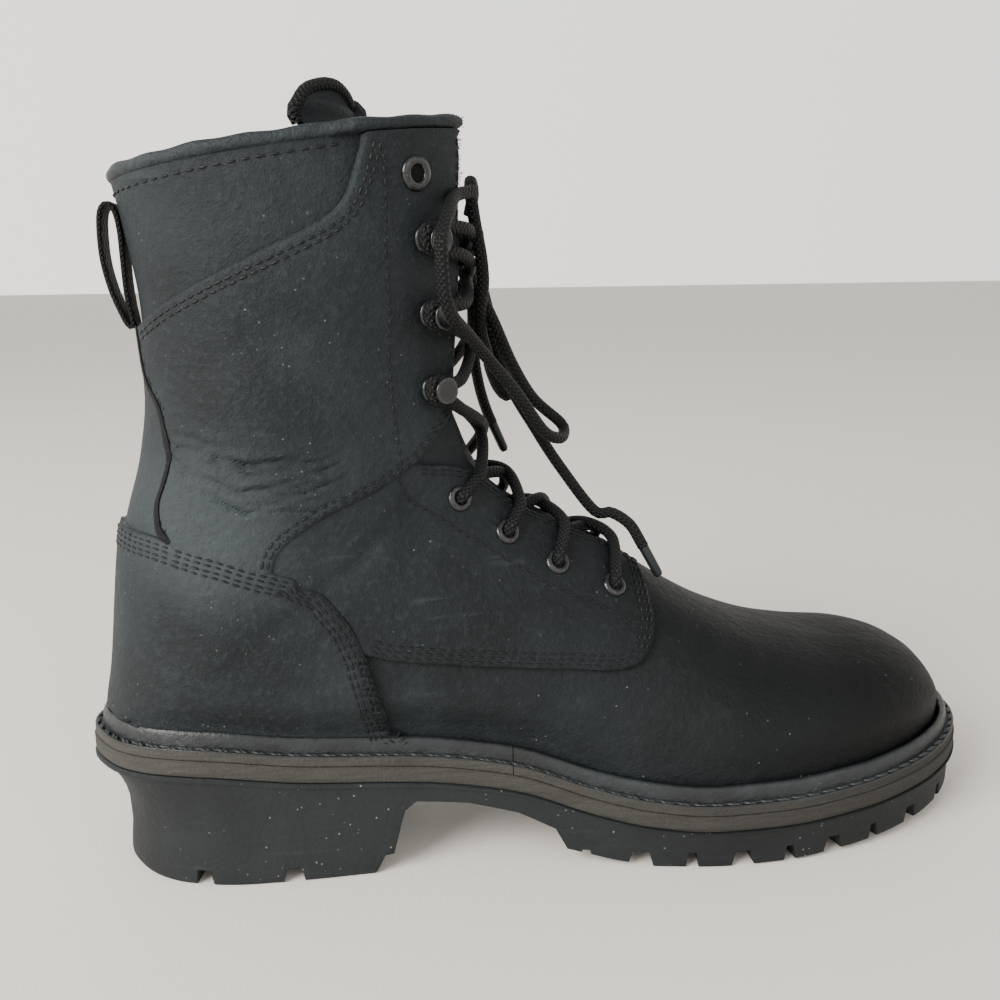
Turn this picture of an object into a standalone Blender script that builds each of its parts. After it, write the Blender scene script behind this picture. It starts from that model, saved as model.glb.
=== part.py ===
"""Lace-up work boot with a block heel and a lug sole, for the right foot.

Metres, +Z up, toe towards +X, outer side towards -Y. The origin is on the floor under the heel.
"""
import math
from bisect import bisect_right

import bmesh
import bpy
from mathutils import Vector
from mathutils.geometry import delaunay_2d_cdt

# Sole
LENGTH = 0.3194
BALL_WIDTH = 0.107
HEEL_WIDTH = 0.0715
HEEL_HEIGHT = 0.0401
FORE_HEIGHT = 0.0134
TOE_SPRING = 0.0068
LUG_DEPTH = 0.0055
LUG_REACH = 0.020
MIDSOLE = 0.0058
WELT = 0.0033
WELT_RIDGE = 0.0050
WELT_LEDGE = 0.007
INSOLE = 0.004
INSOLE_REST = 0.0046

# Upper
COLLAR_HEIGHT = 0.2392
COLLAR_WIDTH = 0.084
UPPER_WALL = 0.0022
PANEL = 0.0015
SHAFT_PANEL = 0.0024
BINDING = 0.0042
BINDING_LIP = 0.0010
TONGUE = 0.003
TONGUE_REST = 0.0017
LOOP_WIDTH = 0.0115
LOOP_WALL = 0.0015

# Hardware and lace
EYELET = 0.0088
TOP_EYELET = 0.0104
EYELET_HOLE = 0.0044
EYELET_HEIGHT = 0.0011
HOOK_BASE = 0.0090
HOOK_HEAD = 0.0086
HOOK_POST = 0.0034
HOOK_HEIGHT = 0.0072
LACE = 0.0040
GAP = 0.0003
PANEL_SEAT = 0.0008

# Where the origin lies, as a share of the length from the back of the heel.
HEEL_REST = 0.166

LATERAL = -1
MEDIAL = 1


def curve_through(xs, ys):
    """Smooth curve through the given points that never overshoots them."""
    count = len(xs)
    step = [xs[i + 1] - xs[i] for i in range(count - 1)]
    rise = [(ys[i + 1] - ys[i]) / step[i] for i in range(count - 1)]
    slope = [rise[0]]
    for i in range(1, count - 1):
        if rise[i - 1] * rise[i] <= 0.0:
            slope.append(0.0)
        else:
            before = 2.0 * step[i] + step[i - 1]
            after = step[i] + 2.0 * step[i - 1]
            slope.append((before + after) / (before / rise[i - 1] + after / rise[i]))
    slope.append(rise[-1])

    def value(x):
        x = min(max(x, xs[0]), xs[-1])
        i = min(bisect_right(xs, x) - 1, count - 2)
        t = (x - xs[i]) / step[i]
        keep = (1.0 + 2.0 * t) * (1.0 - t) ** 2
        lead = t * (1.0 - t) ** 2 * step[i]
        trail = t * t * (t - 1.0) * step[i]
        return keep * ys[i] + lead * slope[i] + (1.0 - keep) * ys[i + 1] + trail * slope[i + 1]

    return value


def columns(table):
    """One smooth curve for each column of a table, over its first column."""
    data = list(zip(*table))
    return [curve_through(data[0], column) for column in data[1:]]


def ease(low, high, x):
    t = min(max((x - low) / (high - low), 0.0), 1.0)
    return t * t * (3.0 - 2.0 * t)


# Sole outline: share of the length, then the outer and inner half widths as shares of a named width.
OUTLINE = (
    (0.000, 0.000, 0.000, "heel"),
    (0.012, 0.168, 0.168, "heel"),
    (0.040, 0.325, 0.325, "heel"),
    (0.080, 0.425, 0.425, "heel"),
    (0.160, 0.497, 0.497, "heel"),
    (0.250, 0.510, 0.500, "heel"),
    (0.340, 0.510, 0.482, "heel"),
    (0.420, 0.360, 0.328, "ball"),
    (0.500, 0.407, 0.352, "ball"),
    (0.580, 0.469, 0.407, "ball"),
    (0.660, 0.512, 0.463, "ball"),
    (0.720, 0.520, 0.478, "ball"),
    (0.800, 0.491, 0.462, "ball"),
    (0.880, 0.415, 0.400, "ball"),
    (0.940, 0.306, 0.310, "ball"),
    (0.980, 0.171, 0.184, "ball"),
    (1.000, -0.026, 0.026, "ball"),
)

# Underside of the midsole: share of the length, share of the way from forefoot to heel height,
# and share of the toe spring.
SOLE_LINE = (
    (0.000, 1.00, 0.00),
    (0.060, 1.00, 0.00),
    (0.123, 0.98, 0.00),
    (0.217, 0.84, 0.00),
    (0.320, 0.73, 0.00),
    (0.380, 0.64, 0.00),
    (0.443, 0.50, 0.00),
    (0.522, 0.19, 0.00),
    (0.580, 0.05, 0.00),
    (0.630, 0.00, 0.00),
    (0.700, 0.00, 0.06),
    (0.800, 0.00, 0.27),
    (0.900, 0.00, 0.59),
    (1.000, 0.00, 1.00),
)

# Side of the outsole: share of its height, inset at the sides and extra inset at the back of the heel,
# as shares of the heel height.
FLARE = (
    (0.00, 0.056, 0.178),
    (0.05, 0.050, 0.172),
    (0.30, 0.048, 0.198),
    (0.55, 0.044, 0.195),
    (0.76, 0.034, 0.140),
    (0.90, 0.024, 0.060),
    (0.955, 0.022, 0.022),
    (0.962, 0.000, 0.000),
    (1.00, 0.000, 0.000),
)

# Hoops round the upper, from the toe to the collar. Top is the front or instep end of each hoop and
# foot its other end, on the feather line or up the back. Along are shares of the length, rise and
# climb shares of the height left above the sole, hug the share of the feather width that the hoop
# keeps, outer and inner its further half widths as shares of the collar width, ridge the shift of
# its top towards the inner side as a share of the ball width, seat where it is widest, crown how
# full it is above that, and tuck how round it is below.
HOOPS = (
    # at, top along, rise, foot along, climb, hug, outer, inner, ridge, seat, crown, tuck
    (0.0, 0.972, 0.000, 0.974, 0.000, 1.00, 0.000, 0.000, 0.026, 0.35, 2.2, 1.0),
    (1.0, 0.962, 0.048, 0.968, 0.000, 1.00, 0.000, 0.000, 0.028, 0.35, 2.3, 1.0),
    (2.0, 0.957, 0.091, 0.953, 0.000, 1.00, 0.000, 0.000, 0.032, 0.34, 2.3, 1.0),
    (3.0, 0.940, 0.133, 0.926, 0.000, 1.00, 0.002, 0.004, 0.040, 0.33, 2.3, 1.0),
    (4.0, 0.909, 0.163, 0.886, 0.000, 1.00, 0.006, 0.010, 0.046, 0.32, 2.3, 1.0),
    (5.0, 0.867, 0.182, 0.836, 0.000, 1.00, 0.012, 0.012, 0.052, 0.30, 2.25, 1.0),
    (6.0, 0.811, 0.195, 0.778, 0.000, 1.00, 0.012, 0.012, 0.056, 0.29, 2.2, 1.0),
    (7.0, 0.749, 0.219, 0.716, 0.000, 1.00, 0.012, 0.012, 0.052, 0.28, 2.1, 1.0),
    (8.0, 0.688, 0.256, 0.650, 0.000, 1.00, 0.012, 0.012, 0.046, 0.28, 2.0, 1.0),
    (9.0, 0.630, 0.304, 0.583, 0.000, 1.00, 0.006, 0.012, 0.040, 0.27, 1.95, 1.0),
    (10.0, 0.585, 0.346, 0.513, 0.000, 1.00, 0.018, 0.018, 0.034, 0.26, 1.9, 1.0),
    (11.0, 0.541, 0.381, 0.434, 0.000, 1.00, 0.054, 0.040, 0.028, 0.26, 1.9, 1.0),
    (12.0, 0.497, 0.408, 0.340, 0.000, 0.75, 0.167, 0.160, 0.020, 0.28, 1.9, 1.1),
    (13.0, 0.462, 0.433, 0.239, 0.000, 0.50, 0.250, 0.244, 0.012, 0.31, 1.95, 1.3),
    (14.0, 0.439, 0.467, 0.138, 0.000, 0.25, 0.339, 0.333, 0.006, 0.34, 2.0, 1.6),
    (15.0, 0.423, 0.513, 0.060, 0.000, 0.10, 0.393, 0.387, 0.000, 0.37, 2.0, 1.85),
    (16.0, 0.415, 0.565, 0.023, 0.000, 0.00, 0.415, 0.408, 0.000, 0.40, 2.1, 2.0),
    (17.0, 0.408, 0.623, 0.033, 0.096, 0.00, 0.415, 0.410, 0.000, 0.43, 2.1, 2.0),
    (18.0, 0.406, 0.691, 0.044, 0.229, 0.00, 0.417, 0.412, 0.000, 0.45, 2.1, 2.0),
    (19.0, 0.406, 0.759, 0.056, 0.363, 0.00, 0.428, 0.422, 0.000, 0.46, 2.1, 2.0),
    (20.0, 0.406, 0.822, 0.078, 0.487, 0.00, 0.445, 0.440, 0.000, 0.47, 2.1, 2.0),
    (21.0, 0.406, 0.881, 0.087, 0.600, 0.00, 0.464, 0.458, 0.000, 0.48, 2.1, 2.0),
    (22.0, 0.407, 0.935, 0.086, 0.724, 0.00, 0.482, 0.476, 0.000, 0.48, 2.1, 2.0),
    (23.0, 0.408, 0.973, 0.077, 0.848, 0.00, 0.494, 0.488, 0.000, 0.48, 2.1, 2.0),
    (24.0, 0.409, 1.000, 0.069, 0.920, 0.00, 0.500, 0.494, 0.000, 0.48, 2.1, 2.0),
)
THROAT = 10.0
HEEL_CORNER = 16.0
COLLAR = 24.0

# Half the gap between the facings along the throat, as shares of the collar width.
THROAT_GAP = (
    (10.0, 0.000),
    (10.4, 0.055),
    (11.0, 0.090),
    (12.0, 0.112),
    (13.0, 0.122),
    (14.0, 0.135),
    (15.0, 0.190),
    (16.0, 0.225),
    (17.0, 0.235),
    (19.0, 0.205),
    (21.5, 0.220),
    (24.0, 0.236),
)

WIDTHS = {"ball": BALL_WIDTH, "heel": HEEL_WIDTH}


def at_length(along):
    return (along - HEEL_REST) * LENGTH


def outline_widths():
    """Half width of the sole on each side, over an angle that runs evenly round its ends."""
    angle = [math.acos(1.0 - 2.0 * row[0]) for row in OUTLINE]
    outer = curve_through(angle, [row[1] * WIDTHS[row[3]] for row in OUTLINE])
    inner = curve_through(angle, [row[2] * WIDTHS[row[3]] for row in OUTLINE])
    return outer, inner


OUTER_HALF, INNER_HALF = outline_widths()
HEEL_SHARE, SPRING_SHARE = columns(SOLE_LINE)
FLARE_SIDE, FLARE_BACK = columns(FLARE)
THROAT_HALF, = columns(THROAT_GAP)
HOOP = columns(HOOPS)


def spring(along):
    return TOE_SPRING * SPRING_SHARE(along)


def sole_top(along):
    """Height of the outsole's top at a share of the length."""
    return FORE_HEIGHT + (HEEL_HEIGHT - FORE_HEIGHT) * HEEL_SHARE(along) + spring(along)


def feather(along):
    """Height at which the upper starts."""
    return sole_top(along) + MIDSOLE + 2.0 * GAP


def stations(count, extra=()):
    """Angles round one side of the sole at even distances, with some more put in."""
    fine = [math.pi * i / 400 for i in range(401)]
    walk = [0.0]
    for a, b in zip(fine, fine[1:]):
        dx = LENGTH * (math.cos(a) - math.cos(b)) / 2.0
        walk.append(walk[-1] + math.hypot(dx, OUTER_HALF(b) - OUTER_HALF(a)))
    place = curve_through(walk, fine)
    even = [place(walk[-1] * i / count) for i in range(count + 1)]
    return sorted(even + [math.acos(1.0 - 2.0 * along) for along in extra])


def outline(inset, angles, shift=0.0):
    """Closed plan outline, from the heel along the outer side to the toe and back, moved inwards."""
    points = []
    for angle in angles:
        points.append((at_length((1.0 - math.cos(angle)) / 2.0), -OUTER_HALF(angle)))
    for angle in reversed(angles[1:-1]):
        points.append((at_length((1.0 - math.cos(angle)) / 2.0), INNER_HALF(angle)))
    count = len(points)
    moved = []
    for i, (x, y) in enumerate(points):
        before, after = points[i - 1], points[(i + 1) % count]
        tx, ty = after[0] - before[0], after[1] - before[1]
        size = math.hypot(tx, ty)
        x -= ty / size * inset
        y += tx / size * inset
        back = 1.0 - ease(0.0, 0.24, x / LENGTH + HEEL_REST)
        moved.append((x + shift * back, y))
    return moved


def share_at(x):
    return min(max(x / LENGTH + HEEL_REST, 0.0), 1.0)


def new_material(name, colour, roughness, metallic=0.0):
    material = bpy.data.materials.new(name)
    material.use_nodes = True
    shader = material.node_tree.nodes["Principled BSDF"]
    shader.inputs["Base Color"].default_value = (*colour, 1.0)
    shader.inputs["Roughness"].default_value = roughness
    shader.inputs["Metallic"].default_value = metallic
    material.diffuse_color = (*colour, 1.0)
    return material


def add_object(name, mesh, material, sharp=40.0):
    item = bpy.data.objects.new(name, mesh)
    PARTS.objects.link(item)
    if material is not None:
        mesh.materials.append(material)
    mesh.shade_smooth()
    mesh.set_sharp_from_angle(angle=math.radians(sharp))
    return item


def mesh_from(name, points, faces):
    mesh = bpy.data.meshes.new(name)
    mesh.from_pydata([tuple(p) for p in points], [], faces)
    mesh.update()
    return mesh


def ring_faces(rings):
    """Quads between closed rings of points."""
    size = len(rings[0])
    faces = []
    for r in range(len(rings) - 1):
        for i in range(size):
            j = (i + 1) % size
            faces.append((r * size + i, r * size + j, (r + 1) * size + j, (r + 1) * size + i))
    return faces


def ladder(size, start, flip):
    """Cap over a plan ring: a strip from the heel to the toe, rung by rung."""
    half = size // 2
    faces = []
    for i in range(half):
        a, b = i, i + 1
        c, d = (size - b) % size, (size - a) % size
        face = [a, b, c, d]
        face = [start + k for n, k in enumerate(face) if k not in face[:n]]
        faces.append(tuple(reversed(face)) if flip else tuple(face))
    return faces


def plan_loft(name, rings):
    """Closed solid through plan rings, listed from the lowest to the highest."""
    size = len(rings[0])
    points = [p for ring in rings for p in ring]
    faces = ring_faces(rings) + ladder(size, 0, True) + ladder(size, (len(rings) - 1) * size, False)
    return mesh_from(name, points, faces)


def cutter(name, mesh):
    item = bpy.data.objects.new(name, mesh)
    CUTTERS.objects.link(item)
    item.hide_render = True
    item.display_type = "WIRE"
    return item


def cut(item, tool, operation="DIFFERENCE"):
    step = item.modifiers.new(operation.title(), "BOOLEAN")
    step.operation = operation
    step.solver = "EXACT"
    step.object = tool


def side_prism(name, outline_xz, half):
    """Prism through the boot from side to side, over an outline in the X-Z plane."""
    count = len(outline_xz)
    points = [(x, -half, z) for x, z in outline_xz] + [(x, half, z) for x, z in outline_xz]
    faces = [tuple(range(count)), tuple(reversed(range(count, 2 * count)))]
    for i in range(count):
        j = (i + 1) % count
        faces.append((i, i + count, j + count, j))
    mesh = mesh_from(name, points, faces)
    return face_out(mesh)


def face_out(mesh):
    work = bmesh.new()
    work.from_mesh(mesh)
    bmesh.ops.recalc_face_normals(work, faces=work.faces)
    work.to_mesh(mesh)
    work.free()
    return mesh


# Outsole

# Gaps between the edge lugs: share of the length, then width at the root and at the mouth as shares
# of the lug depth.
FORE_NOTCHES = (
    (0.508, 0.45, 0.85),
    (0.563, 1.00, 1.65),
    (0.616, 0.45, 0.85),
    (0.670, 0.95, 1.50),
    (0.722, 0.45, 0.85),
    (0.774, 0.90, 1.40),
    (0.827, 0.45, 0.85),
    (0.883, 0.75, 1.20),
    (0.938, 0.45, 0.85),
)
HEEL_NOTCHES = (
    (0.113, 0.85, 1.10),
    (0.206, 0.85, 1.30),
)

# Hollow under the arch, in side view: share of the length and share of the heel height.
ARCH = (
    (0.286, -0.10),
    (0.289, 0.00),
    (0.300, 0.165),
    (0.309, 0.172),
    (0.322, 0.56),
    (0.334, 0.635),
    (0.388, 0.590),
    (0.440, 0.480),
    (0.478, 0.330),
    (0.490, 0.145),
    (0.535, 0.060),
    (0.585, 0.002),
    (0.600, -0.10),
)

# Middle lugs: share of the length and half width as a share of the ball width.
MIDDLE_LUGS = (
    (0.590, 0.17),
    (0.650, 0.22),
    (0.710, 0.23),
    (0.770, 0.22),
    (0.830, 0.18),
    (0.885, 0.12),
)


def outsole_body():
    angles = stations(30)
    rings = []
    for level, _, _ in FLARE:
        ring = []
        plan = outline(FLARE_SIDE(level) * HEEL_HEIGHT, angles, FLARE_BACK(level) * HEEL_HEIGHT)
        for x, y in plan:
            along = share_at(x)
            low = spring(along)
            ring.append((x, y, low + (sole_top(along) - low) * level))
        rings.append(ring)
    return plan_loft("outsole", rings)


def notch(along, side, root, mouth, low):
    """Wedge that cuts one gap between two edge lugs, square to the outline there."""
    angle = math.acos(1.0 - 2.0 * along)
    half = OUTER_HALF if side == LATERAL else INNER_HALF
    step = 0.02
    dx = LENGTH * (math.cos(angle - step) - math.cos(angle + step)) / 2.0
    dy = side * (half(angle + step) - half(angle - step))
    size = math.hypot(dx, dy)
    tangent = Vector((dx / size, dy / size, 0.0))
    inward = Vector((tangent.y * side, -tangent.x * side, 0.0))
    edge = Vector((at_length(along), side * half(angle), low))
    reach = (-0.004, LUG_REACH + 0.001 * (1 if side == LATERAL else 2))
    section = ((-mouth * 1.15, -0.003), (mouth * 1.15, -0.003), (root, LUG_DEPTH), (-root, LUG_DEPTH))
    points = []
    for deep in reach:
        for wide, high in section:
            points.append(edge + inward * deep + tangent * (wide / 2.0) + Vector((0.0, 0.0, high)))
    faces = [(0, 1, 2, 3), (7, 6, 5, 4), (0, 4, 5, 1), (1, 5, 6, 2), (2, 6, 7, 3), (3, 7, 4, 0)]
    return points, faces


def edge_notches():
    points, faces = [], []
    rows = [(row, 0.0) for row in HEEL_NOTCHES] + [(row, spring(row[0])) for row in FORE_NOTCHES]
    for (along, root, mouth), low in rows:
        for side in (LATERAL, MEDIAL):
            if along > 0.93 and side == MEDIAL:
                along -= 0.004
            more, quads = notch(along, side, root * LUG_DEPTH, mouth * LUG_DEPTH, low)
            faces += [tuple(k + len(points) for k in quad) for quad in quads]
            points += more
    return cutter("notch_cutter", face_out(mesh_from("notches", points, faces)))


def tread_pocket():
    """Sunk field between the edge lugs of the forefoot."""
    plan = [p for p in outline(LUG_REACH, stations(30)) if at_length(0.545) < p[0]]
    plan.sort(key=lambda p: (p[1] > 0.003, p[0] if p[1] <= 0.003 else -p[0]))
    count = len(plan)
    points = [(x, y, spring(share_at(x)) - 0.004) for x, y in plan]
    points += [(x, y, spring(share_at(x)) + LUG_DEPTH * 0.96) for x, y in plan]
    half = count // 2
    faces = []
    for i in range(count):
        j = (i + 1) % count
        faces.append((i, j, j + count, i + count))
    low, high = list(range(count)), list(range(count, 2 * count))
    while len(low) > 2:
        quad = [low[0], low[1], low[-2], low[-1]] if len(low) > 3 else low
        top = [high[0], high[1], high[-2], high[-1]] if len(high) > 3 else high
        faces.append(tuple(reversed(quad)))
        faces.append(tuple(top))
        low, high = low[1:-1], high[1:-1]
    return cutter("pocket_cutter", face_out(mesh_from("pocket", points, faces)))


def middle_lugs():
    points, faces = [], []
    for along, half in MIDDLE_LUGS:
        x, low, wide = at_length(along), spring(along), half * BALL_WIDTH
        deep = 0.014 * LENGTH
        base = len(points)
        shift = 0.012 * BALL_WIDTH
        for z, grow in ((low + 0.0002, 0.0), (low + LUG_DEPTH * 1.25, 0.0012)):
            for sx, sy in ((-1, -1), (1, -1), (1, 1), (-1, 1)):
                points.append((x + sx * (deep + grow), shift + sy * (wide + grow), z))
        quads = [(3, 2, 1, 0), (4, 5, 6, 7), (0, 1, 5, 4), (1, 2, 6, 5), (2, 3, 7, 6), (3, 0, 4, 7)]
        faces += [tuple(k + base for k in quad) for quad in quads]
    return cutter("middle_lug_blocks", face_out(mesh_from("middle_lugs", points, faces)))


def make_outsole():
    rubber = new_material("rubber", (0.030, 0.034, 0.035), 0.72)
    item = add_object("outsole", outsole_body(), rubber)
    arch = [(at_length(along), high * HEEL_HEIGHT) for along, high in ARCH]
    cut(item, cutter("arch_cutter", side_prism("arch", arch, BALL_WIDTH)))
    cut(item, edge_notches())
    cut(item, tread_pocket())
    cut(item, middle_lugs(), "UNION")
    return item


# Midsole, welt and insole


def layer(name, inset, low, high, material, count=30, shift=0.0):
    """Flat layer that follows the sole's line between two heights above the outsole."""
    plan = outline(inset, stations(count), shift)
    rings = []
    for level in (low, high):
        rings.append([(x, y, sole_top(share_at(x)) + level) for x, y in plan])
    return add_object(name, plan_loft(name, rings), material)


WELT_JOINT = 0.434
# Welt in section: share of the ledge from its outer edge, height as a share of the welt, and
# height as a share of the ridge.
WELT_SECTION = (
    (0.00, 0.00, 0.00),
    (0.00, 1.00, 0.00),
    (0.42, 1.00, 0.00),
    (0.50, 1.00, 0.55),
    (0.66, 1.00, 1.00),
    (0.86, 1.00, 1.00),
    (1.00, 1.00, 0.60),
    (1.00, 0.00, 0.00),
)


def welt(name, front, material):
    angles = stations(30, (WELT_JOINT - 0.0006, WELT_JOINT + 0.0006))
    rows = []
    for share, flat, ridge in WELT_SECTION:
        reach = 0.0008 + (WELT_LEDGE - 0.0008 - GAP) * share
        high = MIDSOLE + GAP + WELT * flat + WELT_RIDGE * ridge
        rows.append([(x, y, sole_top(share_at(x)) + high) for x, y in outline(reach, angles)])
    joint = at_length(WELT_JOINT)
    size, wide = len(rows[0]), len(rows)
    middle = outline(0.0, angles)
    keep = [i for i in range(size) if (middle[i][0] > joint) == front]
    if not front:
        split = next(n for n in range(len(keep)) if keep[n] + 1 not in keep and keep[n] < size // 2)
        keep = keep[split + 1:] + keep[:split + 1]
    points = [rows[k][i] for i in keep for k in range(wide)]
    faces = [tuple(range(wide)), tuple(range((len(keep) - 1) * wide, len(keep) * wide))]
    for n in range(len(keep) - 1):
        for k in range(wide):
            j = (k + 1) % wide
            faces.append((n * wide + k, n * wide + j, (n + 1) * wide + j, (n + 1) * wide + k))
    return add_object(name, face_out(mesh_from(name, points, faces)), material)


# Upper


def feather_widths():
    """Half widths of the upper at its feather line, over the share of the length."""
    angles = [math.pi * i / 160 for i in range(161)]
    plan = outline(WELT_LEDGE + GAP, angles)
    outer = [(share_at(x), -y) for x, y in plan[:161]]
    inner = [(share_at(x), y) for x, y in plan[160:] + plan[:1]]
    inner.reverse()
    result = []
    for side in (outer, inner):
        xs, ys = [], []
        for x, y in side:
            if not xs or x > xs[-1] + 1e-6:
                xs.append(x)
                ys.append(y)
        result.append(curve_through(xs, ys))
    return result


FEATHER = dict(zip((LATERAL, MEDIAL), feather_widths()))


def beside_welt(x, y, z, side):
    """Half width that stays on the feather line as high as the welt stands."""
    along = share_at(x)
    stands = WELT + WELT_RIDGE
    free = ease(stands, 2.8 * stands, z - feather(along))
    return side * FEATHER[side](along) * (1.0 - free) + y * free


class Hoop:
    """One section of the upper's outer surface, in the plane through its two ends."""

    def __init__(self, at):
        (top_along, rise, foot_along, climb, hug, outer, inner, ridge, seat, crown, tuck) = [
            column(at) for column in HOOP]
        low = feather(top_along)
        base = feather(foot_along)
        self.top = (at_length(top_along), low + rise * (COLLAR_HEIGHT - low))
        self.foot = (at_length(foot_along), base + climb * (COLLAR_HEIGHT - base))
        self.ridge = ridge * BALL_WIDTH
        self.seat, self.crown, self.tuck = seat, crown, tuck
        self.ends = {LATERAL: 0.0, MEDIAL: 0.0}
        if at < HEEL_CORNER:
            self.ends = {side: FEATHER[side](foot_along) for side in FEATHER}
        self.wide = {
            LATERAL: self.ends[LATERAL] * hug + outer * COLLAR_WIDTH,
            MEDIAL: self.ends[MEDIAL] * hug + inner * COLLAR_WIDTH,
        }
        self.paths = {}

    def path(self, side):
        """Points down one side with the distance walked, from the top to the foot."""
        if side in self.paths:
            return self.paths[side]
        wide, end = self.wide[side], self.ends[side]
        points = []
        for i in range(25):
            turn = math.pi / 2.0 * i / 24
            share = self.seat + (1.0 - self.seat) * math.cos(turn) ** (2.0 / self.crown)
            reach = math.sin(turn) ** (2.0 / self.crown)
            points.append((share, self.ridge * (1.0 - reach) + side * wide * reach))
        for i in range(1, 21):
            turn = math.pi / 2.0 * i / 20
            share = self.seat * (1.0 - math.sin(turn))
            points.append((share, side * (end + (wide - end) * math.cos(turn) ** (2.0 / self.tuck))))
        placed = []
        for share, y in points:
            x = self.foot[0] + (self.top[0] - self.foot[0]) * share
            z = self.foot[1] + (self.top[1] - self.foot[1]) * share
            placed.append(Vector((x, beside_welt(x, y, z, side), z)))
        if end == 0.0:
            placed[-1].y = 0.0
        walk = [0.0]
        for a, b in zip(placed, placed[1:]):
            walk.append(walk[-1] + (b - a).length)
        self.paths[side] = (placed, walk)
        return self.paths[side]

    def length(self, side):
        return self.path(side)[1][-1]

    def point(self, side, distance):
        placed, walk = self.path(side)
        distance = min(max(distance, 0.0), walk[-1])
        i = min(bisect_right(walk, distance) - 1, len(walk) - 2)
        span = walk[i + 1] - walk[i]
        t = (distance - walk[i]) / span if span > 0.0 else 0.0
        return placed[i].lerp(placed[i + 1], t)


HOOP_CACHE = {}


def hoop(at):
    key = round(at, 5)
    if key not in HOOP_CACHE:
        HOOP_CACHE[key] = Hoop(key)
    return HOOP_CACHE[key]


def on_form(at, down, side):
    """Point of the upper's outer surface at a hoop and a share of its side."""
    ring = hoop(at)
    return ring.point(side, ring.length(side) * down)


def form_normal(at, down, side):
    """Direction out of the form. Up the middle of the back it is the same from both sides."""
    if down > 0.9999 and at >= HEEL_CORNER:
        both = side_normal(at, down, LATERAL) + side_normal(at, down, MEDIAL)
        return Vector((both.x, 0.0, both.z)).normalized()
    return side_normal(at, down, side)


def side_normal(at, down, side):
    a0, a1 = max(at - 0.15, 0.6), min(at + 0.15, COLLAR)
    d0, d1 = max(down - 0.012, 0.0), min(down + 0.012, 1.0)
    along = on_form(a1, down, side) - on_form(a0, down, side)
    across = on_form(at, d1, side) - on_form(at, d0, side)
    normal = along.cross(across) if side == LATERAL else across.cross(along)
    return normal.normalized()


def upper_mesh(name, rows, count, slit):
    """Open surface of the upper. With a slit, its throat is left open down the front."""
    points, keys, faces = [], {}, []

    def vertex(r, c, side):
        at = rows[r]
        if r == 0:
            key = "tip"
        elif c == 0 and not (slit and at > THROAT):
            key = (r, 0)
        elif c == count and at >= HEEL_CORNER:
            key = (r, count)
        else:
            key = (r, c, side)
        if key not in keys:
            ring = hoop(at)
            start = THROAT_HALF(at) * COLLAR_WIDTH if slit and at > THROAT else 0.0
            total = ring.length(side)
            keys[key] = len(points)
            points.append(ring.point(side, start + (total - start) * c / count))
        return keys[key]

    for r in range(len(rows) - 1):
        for side in (LATERAL, MEDIAL):
            for c in range(count):
                face = [vertex(r, c, side), vertex(r + 1, c, side),
                        vertex(r + 1, c + 1, side), vertex(r, c + 1, side)]
                face = [k for n, k in enumerate(face) if k not in face[:n]]
                if side == MEDIAL:
                    face.reverse()
                if len(face) > 2:
                    faces.append(tuple(face))
    return mesh_from(name, points, faces)


def row_steps():
    """Hoops of the upper's mesh, closer together at the toe's tip and round the heel."""
    rows = [0.0, 0.5]
    rows += [float(n) for n in range(1, int(COLLAR) + 1)]
    rows += [THROAT + 0.4]
    rows += [n + 0.5 for n in range(11, 17)]
    return sorted(rows)


def make_upper(material):
    item = add_object("upper", upper_mesh("upper", row_steps(), 10, True), material)
    wall = item.modifiers.new("Wall", "SOLIDIFY")
    wall.thickness = UPPER_WALL
    wall.offset = -1.0
    wall.use_even_offset = True
    wall.use_quality_normals = True
    return item


# Tongue: hoop that it follows, how far behind that hoop and above it as shares of the collar width,
# and share of the hoop's side that it covers.
TONGUE_ROWS = (
    (9.4, 0.000, 0.000, 0.115),
    (10.4, 0.000, 0.000, 0.150),
    (12.0, 0.000, 0.000, 0.180),
    (13.6, 0.003, 0.000, 0.192),
    (15.2, 0.020, 0.000, 0.200),
    (16.8, 0.050, 0.000, 0.200),
    (18.6, 0.105, 0.000, 0.205),
    (20.4, 0.178, 0.000, 0.205),
    (22.0, 0.252, 0.000, 0.202),
    (23.4, 0.315, 0.000, 0.192),
    (24.0, 0.375, 0.050, 0.185),
    (24.0, 0.415, 0.105, 0.165),
    (24.0, 0.440, 0.138, 0.115),
)


def tongue_surface():
    columns_each = 4
    points = []
    for at, back, lift, cover in TONGUE_ROWS:
        for c in range(-columns_each, columns_each + 1):
            side = LATERAL if c < 0 else MEDIAL
            down = max(abs(c) / columns_each * cover, 0.0001)
            point = on_form(at, down, side)
            inward = -form_normal(at, down, side)
            if c == 0:
                inward = Vector((inward.x, 0.0, inward.z)).normalized()
            point += inward * (UPPER_WALL + TONGUE_REST)
            points.append(point + Vector((-back, 0.0, lift)) * COLLAR_WIDTH)
    wide = 2 * columns_each + 1
    faces = []
    for r in range(len(TONGUE_ROWS) - 1):
        for c in range(wide - 1):
            a = r * wide + c
            faces.append((a, a + 1, a + wide + 1, a + wide))
    return mesh_from("tongue", points, faces)


def make_tongue(material):
    item = add_object("tongue", tongue_surface(), material)
    wall = item.modifiers.new("Thickness", "SOLIDIFY")
    wall.thickness = TONGUE
    wall.offset = -1.0
    wall.use_even_offset = True
    return item


# Panels over the upper

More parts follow.
